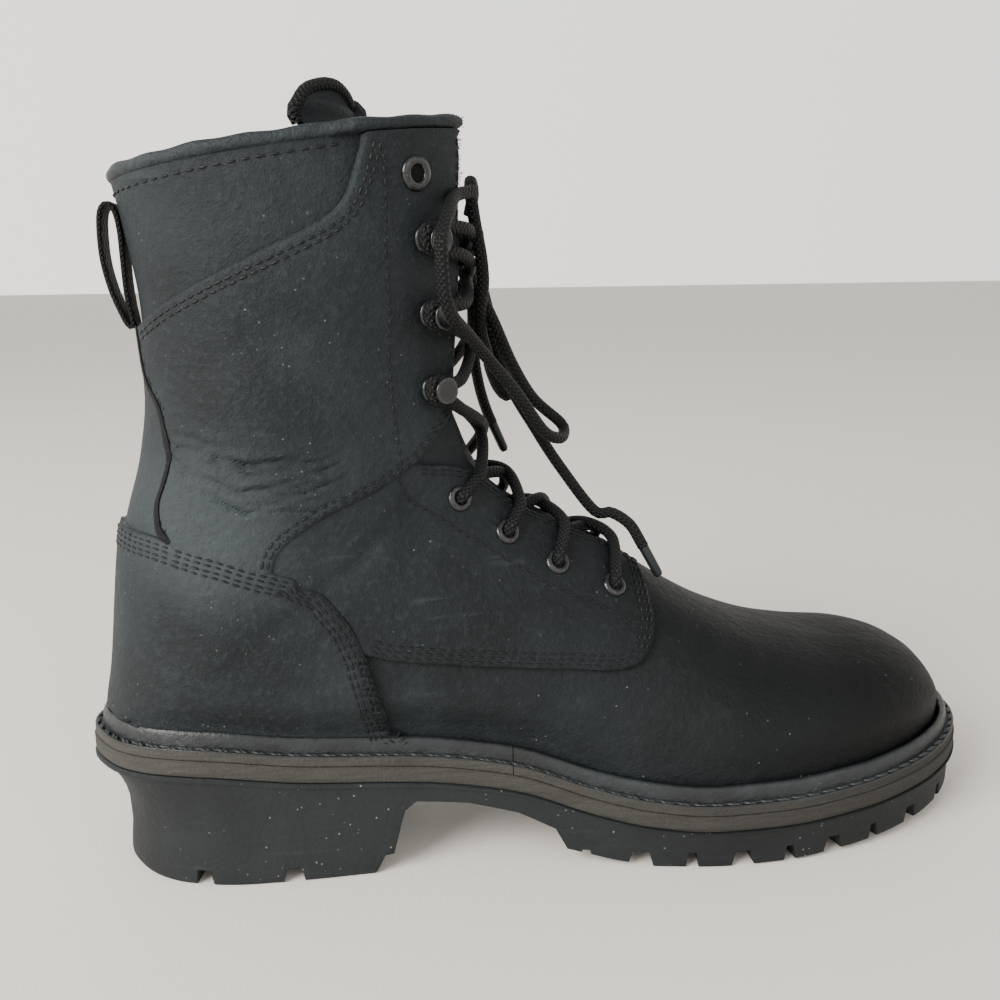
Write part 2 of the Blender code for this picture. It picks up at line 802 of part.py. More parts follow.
# Their edges on one side of the upper: hoop, and share of the hoop's side. Runs that two panels
# share are written once.
WELTED = 2.0
COUNTER_FRONT = (
    (12.38, WELTED), (12.43, 0.917), (12.78, 0.809), (13.11, 0.724), (13.58, 0.626))
COUNTER_MIDDLE = (
    (13.58, 0.626), (13.88, 0.583), (14.37, 0.531), (15.09, 0.488), (15.75, 0.472), (16.28, 0.478),
    (16.88, 0.530))
COUNTER_TOP = ((16.88, 0.530), (17.20, 0.570), (17.69, 0.636), (18.10, 0.703), (18.44, 0.763))
COUNTER_BACK = ((18.44, 0.763), (18.64, 0.805), (18.83, 0.855), (19.04, 0.941), (19.08, 1.0))
SEAM_FOOT = 16.52
COUNTER_WELT = ((SEAM_FOOT, 1.0), (16.0, WELTED), (15.0, WELTED), (14.0, WELTED), (13.2, WELTED), (12.38, WELTED))
SHAFT_LOWER = (
    (16.88, 0.530), (17.06, 0.524), (17.14, 0.500), (17.03, 0.423), (16.78, 0.347), (16.56, 0.277),
    (16.42, 0.212))
SHAFT_TOE = ((16.42, 0.212), (16.60, 0.150), (16.74, 0.118))
SHAFT_FACING = ((16.74, 0.118), (17.40, 0.112), (19.07, 0.109), (21.46, 0.126), (23.90, 0.135))
SHAFT_TOP = ((23.90, 0.135), (23.90, 0.240), (23.90, 0.363))
COLLAR_SEAM = (
    (23.90, 0.363), (23.47, 0.371), (22.75, 0.392), (22.37, 0.415), (22.20, 0.447), (22.13, 0.493),
    (22.08, 0.554), (22.02, 0.650), (21.92, 0.789), (21.76, 0.905))
BACKSTAY_EDGE = (
    (21.76, 0.905), (21.15, 0.888), (20.47, 0.831), (19.95, 0.803), (19.60, 0.784), (19.33, 0.788),
    (19.05, 0.799), (18.75, 0.793), (18.44, 0.763))
BACKSTAY_TOP = ((21.80, 1.0), (21.76, 0.905))
QUARTER_LOWER = (
    (13.58, 0.626), (13.20, 0.634), (12.36, 0.632), (11.33, 0.620), (10.50, 0.590), (10.00, 0.555),
    (9.70, 0.515), (9.53, 0.440), (9.49, 0.350), (9.58, 0.262), (9.68, 0.180), (9.78, 0.085))
QUARTER_FACING = (
    (9.78, 0.085), (10.20, 0.074), (10.70, 0.083), (11.50, 0.095), (12.65, 0.096), (13.60, 0.096),
    (14.30, 0.100), (14.90, 0.116))
QUARTER_FLAP = ((14.90, 0.116), (15.55, 0.150), (16.10, 0.186), (16.42, 0.212))

# Height that a panel keeps over the welt's ridge.
WELT_CLEAR = 0.0014

# A panel's table is read as a flat pattern with this size for one hoop and for a hoop's whole side.
PATTERN_HOOP = 0.010
PATTERN_SIDE = 0.150
PANEL_PITCH = 0.009


def above_welt(at, side):
    """Share of the hoop's side that ends just over the welt."""
    clear = WELT + WELT_RIDGE + WELT_CLEAR
    low, high = 0.5, 1.0
    for _ in range(18):
        middle = (low + high) / 2.0
        point = on_form(at, middle, side)
        if point.z - feather(share_at(point.x)) > clear:
            low = middle
        else:
            high = middle
    return low


def walk_run(rows, side):
    """Points at even distances along one run of a panel's edge, as hoop and share."""
    welted = all(row[1] == WELTED for row in rows[1:])
    placed = [(at, above_welt(at, side) if down == WELTED else down) for at, down in rows]
    marks = [0.0]
    for (a0, d0), (a1, d1) in zip(placed, placed[1:]):
        marks.append(marks[-1] + (on_form(a1, d1, side) - on_form(a0, d0, side)).length)
    at, down = (curve_through(marks, column) for column in zip(*placed))
    fine = [marks[-1] * i / 80 for i in range(81)]
    spots = [on_form(at(m), down(m), side) for m in fine]
    walk = [0.0]
    for a, b in zip(spots, spots[1:]):
        walk.append(walk[-1] + (b - a).length)
    place = curve_through(walk, fine)
    count = max(1, round(walk[-1] / PANEL_PITCH))
    result = []
    for i in range(count + 1):
        mark = place(walk[-1] * i / count)
        share = down(mark)
        if welted and i > 0:
            share = above_welt(at(mark), side)
        result.append((at(mark), share))
    return result


def on_seam(at, down):
    return down > 0.9999 and at > HEEL_CORNER


def pattern(runs, side):
    """Closed edge of a panel on its flat pattern, moved in by its share of the gap."""
    loop = []
    for run in runs:
        points = walk_run(run, side)
        loop += points[:-1]
    flat = [Vector((at * PATTERN_HOOP, down * PATTERN_SIDE)) for at, down in loop]
    area = sum(flat[i - 1].cross(flat[i]) for i in range(len(flat)))
    turn = 1.0 if area > 0.0 else -1.0
    moved = []
    for i, point in enumerate(flat):
        along = flat[(i + 1) % len(flat)] - flat[i - 1]
        inward = Vector((-along.y, along.x)).normalized() * turn
        shifted = point + inward * GAP * 0.9
        if on_seam(*loop[i]):
            neighbours = on_seam(*loop[i - 1]) and on_seam(*loop[(i + 1) % len(loop)])
            shifted = Vector((point.x if neighbours else shifted.x, PATTERN_SIDE))
        moved.append(shifted)
    return moved


def inside_points(edge):
    """Points of an even grid inside a pattern, clear of its edge."""
    us, vs = [p.x for p in edge], [p.y for p in edge]
    result = []
    count_u = int((max(us) - min(us)) / PANEL_PITCH) + 1
    count_v = int((max(vs) - min(vs)) / PANEL_PITCH) + 1
    for i in range(count_u + 1):
        for j in range(count_v + 1):
            spot = Vector((min(us) + PANEL_PITCH * (i + 0.5 * (j % 2)), min(vs) + PANEL_PITCH * j))
            inside, near = False, 1.0
            for a, b in zip(edge, edge[1:] + edge[:1]):
                if (a.y > spot.y) != (b.y > spot.y):
                    if spot.x < a.x + (spot.y - a.y) / (b.y - a.y) * (b.x - a.x):
                        inside = not inside
                side = b - a
                t = min(max((spot - a).dot(side) / side.length_squared, 0.0), 1.0)
                near = min(near, (a + side * t - spot).length)
            if inside and near > 0.55 * PANEL_PITCH:
                result.append(spot)
    return result


def panel(name, runs, sides, thick, material):
    """Closed solid over a pattern, on one side of the upper or round its back."""
    points, faces = [], []
    for side in sides:
        edge = pattern(runs, side)
        spots = edge + inside_points(edge)
        loop = list(range(len(edge)))
        flat, _, tris, _, _, _ = delaunay_2d_cdt(spots, [], [loop], 1, 1e-7)
        base, count = len(points), len(flat)
        shares = [(p.x / PATTERN_HOOP, p.y / PATTERN_SIDE) for p in flat]
        for high in (PANEL_SEAT, PANEL_SEAT + thick):
            for at, down in shares:
                points.append(on_form(at, down, side) + form_normal(at, down, side) * high)
        edges = {}
        for tri in tris:
            faces.append(tuple(base + k for k in reversed(tri)))
            faces.append(tuple(base + count + k for k in tri))
            for i in range(len(tri)):
                a, b = tri[i - 1], tri[i]
                edges[(a, b)] = edges.get((b, a)) is None
                if not edges[(a, b)]:
                    edges[(b, a)] = False
        for (a, b), open_edge in edges.items():
            if open_edge and not (on_seam(*shares[a]) and on_seam(*shares[b])):
                faces.append((base + a, base + b, base + count + b, base + count + a))
    work = bmesh.new()
    corners = [work.verts.new(p) for p in points]
    for face in faces:
        work.faces.new([corners[k] for k in face])
    bmesh.ops.remove_doubles(work, verts=work.verts, dist=1e-6)
    bmesh.ops.recalc_face_normals(work, faces=work.faces)
    mesh = bpy.data.meshes.new(name)
    work.to_mesh(mesh)
    work.free()
    return add_object(name, mesh, material)


def make_panels(material):
    quarter = (QUARTER_LOWER, QUARTER_FACING, QUARTER_FLAP, reverse(SHAFT_LOWER), reverse(COUNTER_MIDDLE))
    shaft = (SHAFT_LOWER, SHAFT_TOE, SHAFT_FACING, SHAFT_TOP, COLLAR_SEAM, BACKSTAY_EDGE, reverse(COUNTER_TOP))
    for side, word in ((LATERAL, "lateral"), (MEDIAL, "medial")):
        panel("quarter_" + word, quarter, (side,), PANEL, material)
        panel("shaft_" + word, shaft, (side,), SHAFT_PANEL, material)
    seam = ((19.08, 1.0), (17.70, 1.0), (SEAM_FOOT, 1.0))
    counter = (COUNTER_FRONT, COUNTER_MIDDLE, COUNTER_TOP, COUNTER_BACK, seam, COUNTER_WELT)
    panel("counter", counter, (LATERAL, MEDIAL), SHAFT_PANEL, material)
    seam = ((19.08, 1.0), (20.40, 1.0), (21.80, 1.0))
    backstay = (BACKSTAY_EDGE, COUNTER_BACK, seam, BACKSTAY_TOP)
    panel("backstay", backstay, (LATERAL, MEDIAL), PANEL, material)


def reverse(rows):
    return tuple(reversed(rows))


# Collar binding and pull loop


def sweep(name, frames, section, closed, material):
    """Solid of one section along frames, each a point with its two cross directions."""
    rings = []
    for point, across, up in frames:
        rings.append([point + across * a + up * b for a, b in section])
    size = len(section)
    faces = ring_faces(rings)
    if closed:
        last = (len(rings) - 1) * size
        for i in range(size):
            j = (i + 1) % size
            faces.append((last + i, last + j, j, i))
    else:
        faces += [tuple(range(size)), tuple(range((len(rings) - 1) * size, len(rings) * size))]
    mesh = face_out(mesh_from(name, [p for ring in rings for p in ring], faces))
    return add_object(name, mesh, material)


BINDING_STEPS = 13


def make_binding(material):
    """Roll over the collar's rim, from one front edge round the back to the other."""
    spots = []
    start = THROAT_HALF(COLLAR) * COLLAR_WIDTH
    for side in (LATERAL, MEDIAL):
        total = hoop(COLLAR).length(side)
        steps = range(BINDING_STEPS + 1) if side == LATERAL else range(BINDING_STEPS - 1, -1, -1)
        spots += [(side, (start + (total - start) * i / BINDING_STEPS) / total) for i in steps]
    back = UPPER_WALL + GAP
    frames = []
    for side, down in spots:
        over_panel = 1.0 - ease(SHAFT_TOP[-1][1], SHAFT_TOP[-1][1] + 0.08, down)
        out = BINDING_LIP + (PANEL_SEAT + SHAFT_PANEL + GAP - BINDING_LIP) * over_panel
        across = form_normal(COLLAR, down, side)
        across = Vector((across.x, across.y, 0.0)).normalized()
        point = on_form(COLLAR, down, side) + across * (out - back) / 2.0
        half = (out + back) / 2.0
        frames.append((point + Vector((0.0, 0.0, GAP * 1.5)), across * half, Vector((0.0, 0.0, BINDING))))
    section = []
    for across, up in ((-1.0, 0.0), (1.0, 0.0), (1.12, 0.45), (0.7, 0.92), (0.0, 1.0), (-0.7, 0.92), (-1.12, 0.45)):
        section.append((across, up))
    return sweep("collar_binding", frames, section, False, material)


# Pull loop in side view: how far behind the back of the collar's seam and how high over it, as
# shares of the loop's own height.
LOOP_HEIGHT = 0.037
PULL_LOOP = (
    (0.060, 0.000),
    (0.080, 0.150),
    (0.095, 0.330),
    (0.100, 0.560),
    (0.105, 0.780),
    (0.130, 0.930),
    (0.185, 1.000),
    (0.245, 0.940),
    (0.265, 0.780),
    (0.260, 0.540),
    (0.215, 0.300),
    (0.150, 0.110),
    (0.100, 0.000),
)


def make_pull_loop(material):
    foot = on_form(21.8, 1.0, LATERAL)
    count = len(PULL_LOOP)
    route = [foot + Vector((-back, 0.0, high)) * LOOP_HEIGHT for back, high in PULL_LOOP]
    frames = []
    for i, point in enumerate(route):
        along = route[(i + 1) % count] - route[i - 1]
        across = Vector((-along.z, 0.0, along.x)).normalized()
        frames.append((point, across, Vector((0.0, 1.0, 0.0))))
    thick, wide = LOOP_WALL / 2.0, LOOP_WIDTH / 2.0
    section = ((-thick, -wide), (thick, -wide), (thick, wide), (-thick, wide))
    return sweep("pull_loop", frames, section, True, material)


# Eyelets and hooks

# Hoop, share of the side and panel thickness below each.
EYELETS = (
    (10.42, 0.273, PANEL, EYELET),
    (11.63, 0.258, PANEL, EYELET),
    (12.90, 0.205, PANEL, EYELET),
    (14.52, 0.182, PANEL, EYELET),
    (22.48, 0.262, SHAFT_PANEL, TOP_EYELET),
)
HOOKS = (
    (17.70, 0.178),
    (19.29, 0.200),
    (20.97, 0.235),
)
HARDWARE_SEAT = 0.0006


def turned(name, profile, closed, material):
    """Object turned round its own Z from a profile of radius and height, listed downwards."""
    count = len(profile)
    edges = [(i, i + 1) for i in range(count - 1)]
    if closed:
        edges.append((count - 1, 0))
    mesh = bpy.data.meshes.new(name)
    mesh.from_pydata([(r, 0.0, z) for r, z in profile], edges, [])
    mesh.materials.append(material)
    item = bpy.data.objects.new(name, mesh)
    PARTS.objects.link(item)
    screw = item.modifiers.new("Turn", "SCREW")
    screw.steps = 8
    screw.render_steps = 8
    screw.use_merge_vertices = True
    screw.merge_threshold = 0.00001
    return item


def seat(item, at, down, side, high):
    """Stands an object on the form at a height, with its Z out of the leather."""
    normal = form_normal(at, down, side)
    turn = Vector((0.0, 0.0, 1.0)).rotation_difference(normal)
    item.rotation_mode = "QUATERNION"
    item.rotation_quaternion = turn
    item.location = on_form(at, down, side) + normal * high


def make_hardware(material):
    for side, word in ((LATERAL, "lateral"), (MEDIAL, "medial")):
        for n, (at, down, thick, wide) in enumerate(EYELETS):
            outer, hole, tall = wide / 2.0, EYELET_HOLE / 2.0 * wide / EYELET, EYELET_HEIGHT
            profile = ((hole, tall * 0.8), (outer * 0.78, tall), (outer, tall * 0.35), (outer, 0.0), (hole, 0.0))
            item = turned("eyelet_%s_%d" % (word, n + 1), profile, True, material)
            seat(item, at, down, side, PANEL_SEAT + thick + HARDWARE_SEAT)
        for n, (at, down) in enumerate(HOOKS):
            base, head, post, tall = HOOK_BASE / 2.0, HOOK_HEAD / 2.0, HOOK_POST / 2.0, HOOK_HEIGHT
            profile = ((0.0, tall), (head * 0.7, tall * 0.97), (head, tall * 0.90), (head * 0.95, tall * 0.84),
                       (post, tall * 0.81), (post, tall * 0.17), (base, tall * 0.08), (base, 0.0), (0.0, 0.0))
            item = turned("hook_%s_%d" % (word, n + 1), profile, False, material)
            seat(item, at, down, side, PANEL_SEAT + SHAFT_PANEL + HARDWARE_SEAT)


# Laces

# The lace's height over the form where it leaves an eyelet, passes the facing's edge and crosses
# the middle, as shares of its own thickness.
LACE_AT_EYELET = 1.80
LACE_AT_FACING = 1.42
LACE_AT_SHAFT = 1.69
LACE_AT_MIDDLE = 0.30
LACE_LIFT = 0.36
FACING_INSET = 0.015
STRAND_SLANT = 0.20
STRAND_APART = 0.06
HOOK_ARRIVE = 0.80
HOOK_LEAVE = 0.18
HOOK_DROP = 0.70
LACE_POINT = 0.0088


def smooth_route(route, step):
    """Even points along a smooth curve through a route."""
    points = [Vector(p) for p in route]
    marks = [0.0]
    for a, b in zip(points, points[1:]):
        marks.append(marks[-1] + (b - a).length)
    fine = []
    for i in range(len(points) - 1):
        before = points[i - 1] if i > 0 else points[i] * 2.0 - points[i + 1]
        after = points[i + 2] if i + 2 < len(points) else points[i + 1] * 2.0 - points[i]
        for k in range(12):
            t = k / 12
            fine.append(catmull(before, points[i], points[i + 1], after, t))
    fine.append(points[-1])
    walk = [0.0]
    for a, b in zip(fine, fine[1:]):
        walk.append(walk[-1] + (b - a).length)
    count = max(2, round(walk[-1] / step))
    result = []
    for i in range(count + 1):
        distance = walk[-1] * i / count
        k = min(bisect_right(walk, distance) - 1, len(walk) - 2)
        t = (distance - walk[k]) / (walk[k + 1] - walk[k])
        result.append(fine[k].lerp(fine[k + 1], t))
    return result


def catmull(p0, p1, p2, p3, t):
    linear = (p2 - p0) * t
    square = (p0 * 2.0 - p1 * 5.0 + p2 * 4.0 - p3) * t * t
    cube = (p1 * 3.0 - p0 - p2 * 3.0 + p3) * t * t * t
    return (p1 * 2.0 + linear + square + cube) / 2.0


def cord(name, points, material):
    """Round lace through a row of points, as a curve with closed ends."""
    line = bpy.data.curves.new(name, "CURVE")
    line.dimensions = "3D"
    line.bevel_depth = LACE / 2.0
    line.bevel_resolution = 2
    line.use_fill_caps = True
    line.materials.append(material)
    spline = line.splines.new("POLY")
    spline.points.add(len(points) - 1)
    for slot, point in zip(spline.points, points):
        slot.co = (*point, 1.0)
    item = bpy.data.objects.new(name, line)
    PARTS.objects.link(item)
    return item


def as_mesh(item):
    """The mesh of a curve object, closed at its ends. The curve is removed."""
    bpy.context.view_layer.update()
    seen = item.evaluated_get(bpy.context.evaluated_depsgraph_get())
    mesh = bpy.data.meshes.new_from_object(seen)
    work = bmesh.new()
    work.from_mesh(mesh)
    bmesh.ops.remove_doubles(work, verts=work.verts, dist=0.00001)
    bmesh.ops.recalc_face_normals(work, faces=work.faces)
    work.to_mesh(mesh)
    work.free()
    bpy.data.objects.remove(item, do_unlink=True)
    return mesh


def off_form(at, down, side, high):
    return on_form(at, down, side) + form_normal(at, down, side) * high


def round_hook(number, side):
    """Points of the lace round the back of a hook's post, from below to above."""
    at, down = HOOKS[number]
    normal = form_normal(at, down, side)
    forward = (on_form(at, down - 0.03, side) - on_form(at, down, side)).normalized()
    upward = normal.cross(forward) * (1.0 if side == LATERAL else -1.0)
    if upward.z < 0.0:
        upward.negate()
    high = PANEL_SEAT + SHAFT_PANEL + HARDWARE_SEAT + HOOK_HEIGHT * 0.49
    centre = on_form(at, down, side) + normal * high
    reach = HOOK_POST / 2.0 + LACE / 2.0 + 4.0 * GAP
    result = []
    for turn in (265, 222, 180, 138, 95):
        a = math.radians(turn)
        result.append(centre + (forward * math.cos(a) + upward * math.sin(a)) * reach)
    return result


def facing_edge(at, side):
    """How far down the side the lace leaves the facing, just outside its edge."""
    return THROAT_HALF(at) * COLLAR_WIDTH / hoop(at).length(side) + FACING_INSET


def over_throat(at, side, lift):
    """Point of a crossing over the middle of the throat."""
    outward = form_normal(at, 0.0001, side)
    outward = Vector((outward.x, 0.0, outward.z)).normalized()
    return on_form(at, 0.0001, side) + outward * LACE * (LACE_AT_MIDDLE + lift)


def eyelet_strand(number, side, lift):
    """Lace from one eyelet over the throat to the next one up on the other side."""
    low, low_down = EYELETS[number][:2]
    high, high_down = EYELETS[number + 1][:2]
    return [off_form(low + STRAND_APART, low_down, side, LACE * LACE_AT_EYELET),
            off_form(low + STRAND_SLANT, facing_edge(low, side), side, LACE * LACE_AT_FACING),
            over_throat((low + high) / 2.0, side, lift),
            off_form(high - STRAND_SLANT, facing_edge(high, -side), -side, LACE * LACE_AT_FACING),
            off_form(high - STRAND_APART, high_down, -side, LACE * LACE_AT_EYELET)]


def hook_strand(side, lift):
    """Lace from the last low eyelet up over the hooks to the knot."""
    at, down = EYELETS[3][:2]
    route = [off_form(at + STRAND_APART, down, side, LACE * LACE_AT_EYELET),
             off_form(at + STRAND_SLANT, facing_edge(at, side), side, LACE * LACE_AT_FACING)]
    for number, (high, _) in enumerate(HOOKS):
        route.append(over_throat((at + high) / 2.0 - HOOK_DROP, side, lift))
        side = -side
        route.append(off_form(high - HOOK_ARRIVE, facing_edge(high, side), side, LACE * LACE_AT_SHAFT))
        route += round_hook(number, side)
        route.append(off_form(high - HOOK_LEAVE, facing_edge(high, side), side, LACE * LACE_AT_SHAFT))
        at = high
    return route


# The knot, and the free stretches of lace from it: along the foot, across it and up, as shares of
# the collar width from the knot's middle.
KNOT = (0.938, 0.000, 2.449)
KNOT_SAG = 0.36
LOOPS = {
    "lace_loop_lateral": (
        (-0.008, -0.222, 0.176), (-0.081, -0.321, 0.151), (-0.115, -0.440, 0.097), (-0.147, -0.524, 0.036),
        (-0.163, -0.560, -0.021), (-0.161, -0.560, -0.104), (-0.151, -0.536, -0.197), (-0.119, -0.488, -0.270),
        (-0.063, -0.405, -0.327), (0.042, -0.286, -0.442), (0.161, -0.214, -0.581), (0.272, -0.155, -0.731),
        (0.351, -0.095, -0.775), (0.389, -0.024, -0.762), (0.380, 0.012, -0.724), (0.264, 0.000, -0.619),
        (0.172, -0.036, -0.475), (0.097, -0.060, -0.310), (0.035, -0.060, -0.182)),
    "lace_loop_medial": (
        (0.014, 0.000, 0.105), (0.026, -0.036, 0.183), (0.008, -0.095, 0.224), (0.002, -0.150, 0.158),
        (0.014, -0.170, 0.051), (0.034, -0.165, -0.060), (0.042, -0.150, -0.160), (0.034, -0.116, -0.250),
        (0.048, -0.040, -0.345), (0.080, 0.030, -0.425), (0.105, 0.100, -0.505), (0.145, 0.170, -0.585),
        (0.190, 0.200, -0.630), (0.220, 0.210, -0.600), (0.200, 0.200, -0.510), (0.160, 0.190, -0.410),
        (0.120, 0.170, -0.300), (0.085, 0.130, -0.190)),
}
ENDS = {
    "lace_end_lateral": (
        (0.043, 0.048, -0.155), (0.170, 0.119, -0.533), (0.296, 0.095, -0.766), (0.396, 0.060, -0.928),
        (0.525, 0.000, -1.105), (0.591, -0.036, -1.110), (0.660, -0.065, -1.155), (0.702, -0.085, -1.225),
        (0.774, -0.107, -1.368)),
    "lace_end_medial": (
        (0.040, 0.130, -0.100), (0.052, 0.220, -0.280), (0.066, 0.310, -0.450), (0.100, 0.360, -0.620),
        (0.150, 0.380, -0.760), (0.220, 0.390, -0.880)),
}


def make_laces(material):
    at, down = EYELETS[0][:2]
    routes = [[off_form(at, down * share, side, LACE * high) for side, share, high in (
        (LATERAL, 1.0, LACE_AT_EYELET), (LATERAL, 0.6, LACE_AT_SHAFT), (LATERAL, 0.2, LACE_AT_FACING),
        (MEDIAL, 0.2, LACE_AT_FACING), (MEDIAL, 0.6, LACE_AT_SHAFT), (MEDIAL, 1.0, LACE_AT_EYELET))]]
    for first, lift in ((LATERAL, LACE_LIFT), (MEDIAL, 0.0)):
        side = first
        for number in range(3):
            routes.append(eyelet_strand(number, side, lift))
            side = -side
        routes.append(hook_strand(side, lift))
    mesh = as_mesh(cord("strand", routes[0], material))
    for route in routes[1:]:
        tool = cutter("strand", as_mesh(cord("strand", route, material)))
        joined = add_object("lace_crossings", mesh, None)
        cut(joined, tool, "UNION")
        mesh = as_mesh(joined)
        bpy.data.objects.remove(tool, do_unlink=True)
    add_object("lace_crossings", mesh, None)
    centre = Vector(KNOT) * COLLAR_WIDTH
    make_knot(centre, material)
    for table in (LOOPS, ENDS):
        for name, rows in table.items():
            route = [centre + Vector(row) * COLLAR_WIDTH for row in rows]
            cord(name, smooth_route(route, LACE_POINT), material)


def make_knot(centre, material):
    mesh = bpy.data.meshes.new("lace_knot")
    work = bmesh.new()
    bmesh.ops.create_uvsphere(work, u_segments=12, v_segments=7, radius=1.0)
    bmesh.ops.scale(work, vec=(1.1 * LACE, 1.6 * LACE, 1.6 * LACE), verts=work.verts)
    bmesh.ops.translate(work, vec=centre - Vector((0.0, 0.0, KNOT_SAG * LACE)), verts=work.verts)
    work.to_mesh(mesh)
    work.free()
    return add_object("lace_knot", mesh, material)


def clear_scene():
    for item in list(bpy.data.objects):
        bpy.data.objects.remove(item, do_unlink=True)


def new_collection(name):
    made = bpy.data.collections.new(name)
    bpy.context.scene.collection.children.link(made)
    return made


clear_scene()
PARTS = new_collection("work_boot")
CUTTERS = new_collection("cutters")


def main():
    leather = new_material("black_leather", (0.022, 0.026, 0.028), 0.62)
    edge = new_material("midsole_leather", (0.060, 0.054, 0.047), 0.80)
    welt_leather = new_material("welt_leather", (0.016, 0.018, 0.020), 0.42)
    panel_leather = new_material("panel_leather", (0.023, 0.027, 0.029), 0.62)
    roll = new_material("binding_leather", (0.026, 0.028, 0.029), 0.50)
    webbing = new_material("loop_webbing", (0.020, 0.021, 0.023), 0.85)
    enamel = new_material("black_enamel", (0.012, 0.013, 0.014), 0.25, 0.6)
    braid = new_material("lace_braid", (0.013, 0.014, 0.015), 0.80)
    lining = new_material("insole_fabric", (0.045, 0.042, 0.038), 0.90)
    make_outsole()
    layer("midsole", 0.0005, GAP, MIDSOLE, edge)
    welt("welt_front", True, welt_leather)
    welt("welt_heel", False, welt_leather)
    make_upper(leather)
    make_tongue(leather)
    make_panels(panel_leather)
    make_binding(roll)
    make_pull_loop(webbing)
    make_hardware(enamel)
    make_laces(braid)
    insole_low = MIDSOLE + 3.0 * GAP
    layer("insole", WELT_LEDGE + UPPER_WALL + INSOLE_REST, insole_low, insole_low + INSOLE, lining)


main()
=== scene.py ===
"""Right lace-up work boot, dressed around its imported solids."""

import math
from bisect import bisect_right
from functools import partial

import bmesh
import bpy
import numpy as np
from bpy.props import FloatProperty, FloatVectorProperty, IntProperty
from mathutils import Matrix, Vector
from mathutils.geometry import delaunay_2d_cdt


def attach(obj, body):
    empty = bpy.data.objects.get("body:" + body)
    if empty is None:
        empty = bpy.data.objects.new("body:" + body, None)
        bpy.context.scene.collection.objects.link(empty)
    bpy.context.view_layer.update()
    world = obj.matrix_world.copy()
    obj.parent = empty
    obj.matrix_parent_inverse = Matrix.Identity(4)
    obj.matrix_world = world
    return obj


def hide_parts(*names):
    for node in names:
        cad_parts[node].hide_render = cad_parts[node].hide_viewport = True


bl_info = {
    "name": "Lace-up Work Boot",
    "version": (1, 0, 0),
    "blender": (4, 5, 0),
    "location": "View3D > Sidebar > Boot",
    "description": "Leather, stitches, laces, hardware and sole of a right lace-up work boot",
    "category": "Object",
}

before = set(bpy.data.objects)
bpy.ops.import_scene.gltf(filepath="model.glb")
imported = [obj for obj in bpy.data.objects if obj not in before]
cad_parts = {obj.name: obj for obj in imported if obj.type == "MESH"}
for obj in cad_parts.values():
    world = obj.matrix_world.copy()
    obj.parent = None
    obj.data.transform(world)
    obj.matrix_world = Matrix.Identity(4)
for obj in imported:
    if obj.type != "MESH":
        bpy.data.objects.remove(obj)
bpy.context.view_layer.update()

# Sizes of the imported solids, in metres.
# Sole
LENGTH = 0.3194
BALL_WIDTH = 0.107
HEEL_WIDTH = 0.0715
HEEL_HEIGHT = 0.0401
FORE_HEIGHT = 0.0134
TOE_SPRING = 0.0068
LUG_DEPTH = 0.0055
LUG_REACH = 0.020
MIDSOLE = 0.0058
WELT = 0.0033
WELT_RIDGE = 0.0050
WELT_LEDGE = 0.007
INSOLE = 0.004
INSOLE_REST = 0.0046

# Upper
COLLAR_HEIGHT = 0.2392
COLLAR_WIDTH = 0.084
UPPER_WALL = 0.0022
PANEL = 0.0015
SHAFT_PANEL = 0.0024
BINDING = 0.0042
BINDING_LIP = 0.0010
TONGUE = 0.003
TONGUE_REST = 0.0017
LOOP_WIDTH = 0.0115
LOOP_WALL = 0.0015

# Hardware and lace
EYELET = 0.0088
TOP_EYELET = 0.0104
EYELET_HEIGHT = 0.0011
HOOK_HEAD = 0.0086
HOOK_POST = 0.0034
HOOK_HEIGHT = 0.0072
LACE = 0.0040
GAP = 0.0003
PANEL_SEAT = 0.0008

# Where the origin lies, as a share of the length from the back of the heel.
HEEL_REST = 0.166

LATERAL = -1
MEDIAL = 1
BOTH = (LATERAL, MEDIAL)
SIDES = ((LATERAL, "lateral"), (MEDIAL, "medial"))


def curve_through(xs, ys):
    """Smooth curve through the given points that never overshoots them."""
    count = len(xs)
    step = [xs[i + 1] - xs[i] for i in range(count - 1)]
    rise = [(ys[i + 1] - ys[i]) / step[i] for i in range(count - 1)]
    slope = [rise[0]]
    for i in range(1, count - 1):
        if rise[i - 1] * rise[i] <= 0.0:
            slope.append(0.0)
        else:
            before = 2.0 * step[i] + step[i - 1]
            after = step[i] + 2.0 * step[i - 1]
            slope.append((before + after) / (before / rise[i - 1] + after / rise[i]))
    slope.append(rise[-1])

    def value(x):
        x = min(max(x, xs[0]), xs[-1])
        i = min(bisect_right(xs, x) - 1, count - 2)
        t = (x - xs[i]) / step[i]
        keep = (1.0 + 2.0 * t) * (1.0 - t) ** 2
        lead = t * (1.0 - t) ** 2 * step[i]
        trail = t * t * (t - 1.0) * step[i]
        return keep * ys[i] + lead * slope[i] + (1.0 - keep) * ys[i + 1] + trail * slope[i + 1]

    return value


def columns(table):
    """One smooth curve for each column of a table, over its first column."""
    data = list(zip(*table))
    return [curve_through(data[0], column) for column in data[1:]]


def ease(low, high, x):
    t = min(max((x - low) / (high - low), 0.0), 1.0)
    return t * t * (3.0 - 2.0 * t)


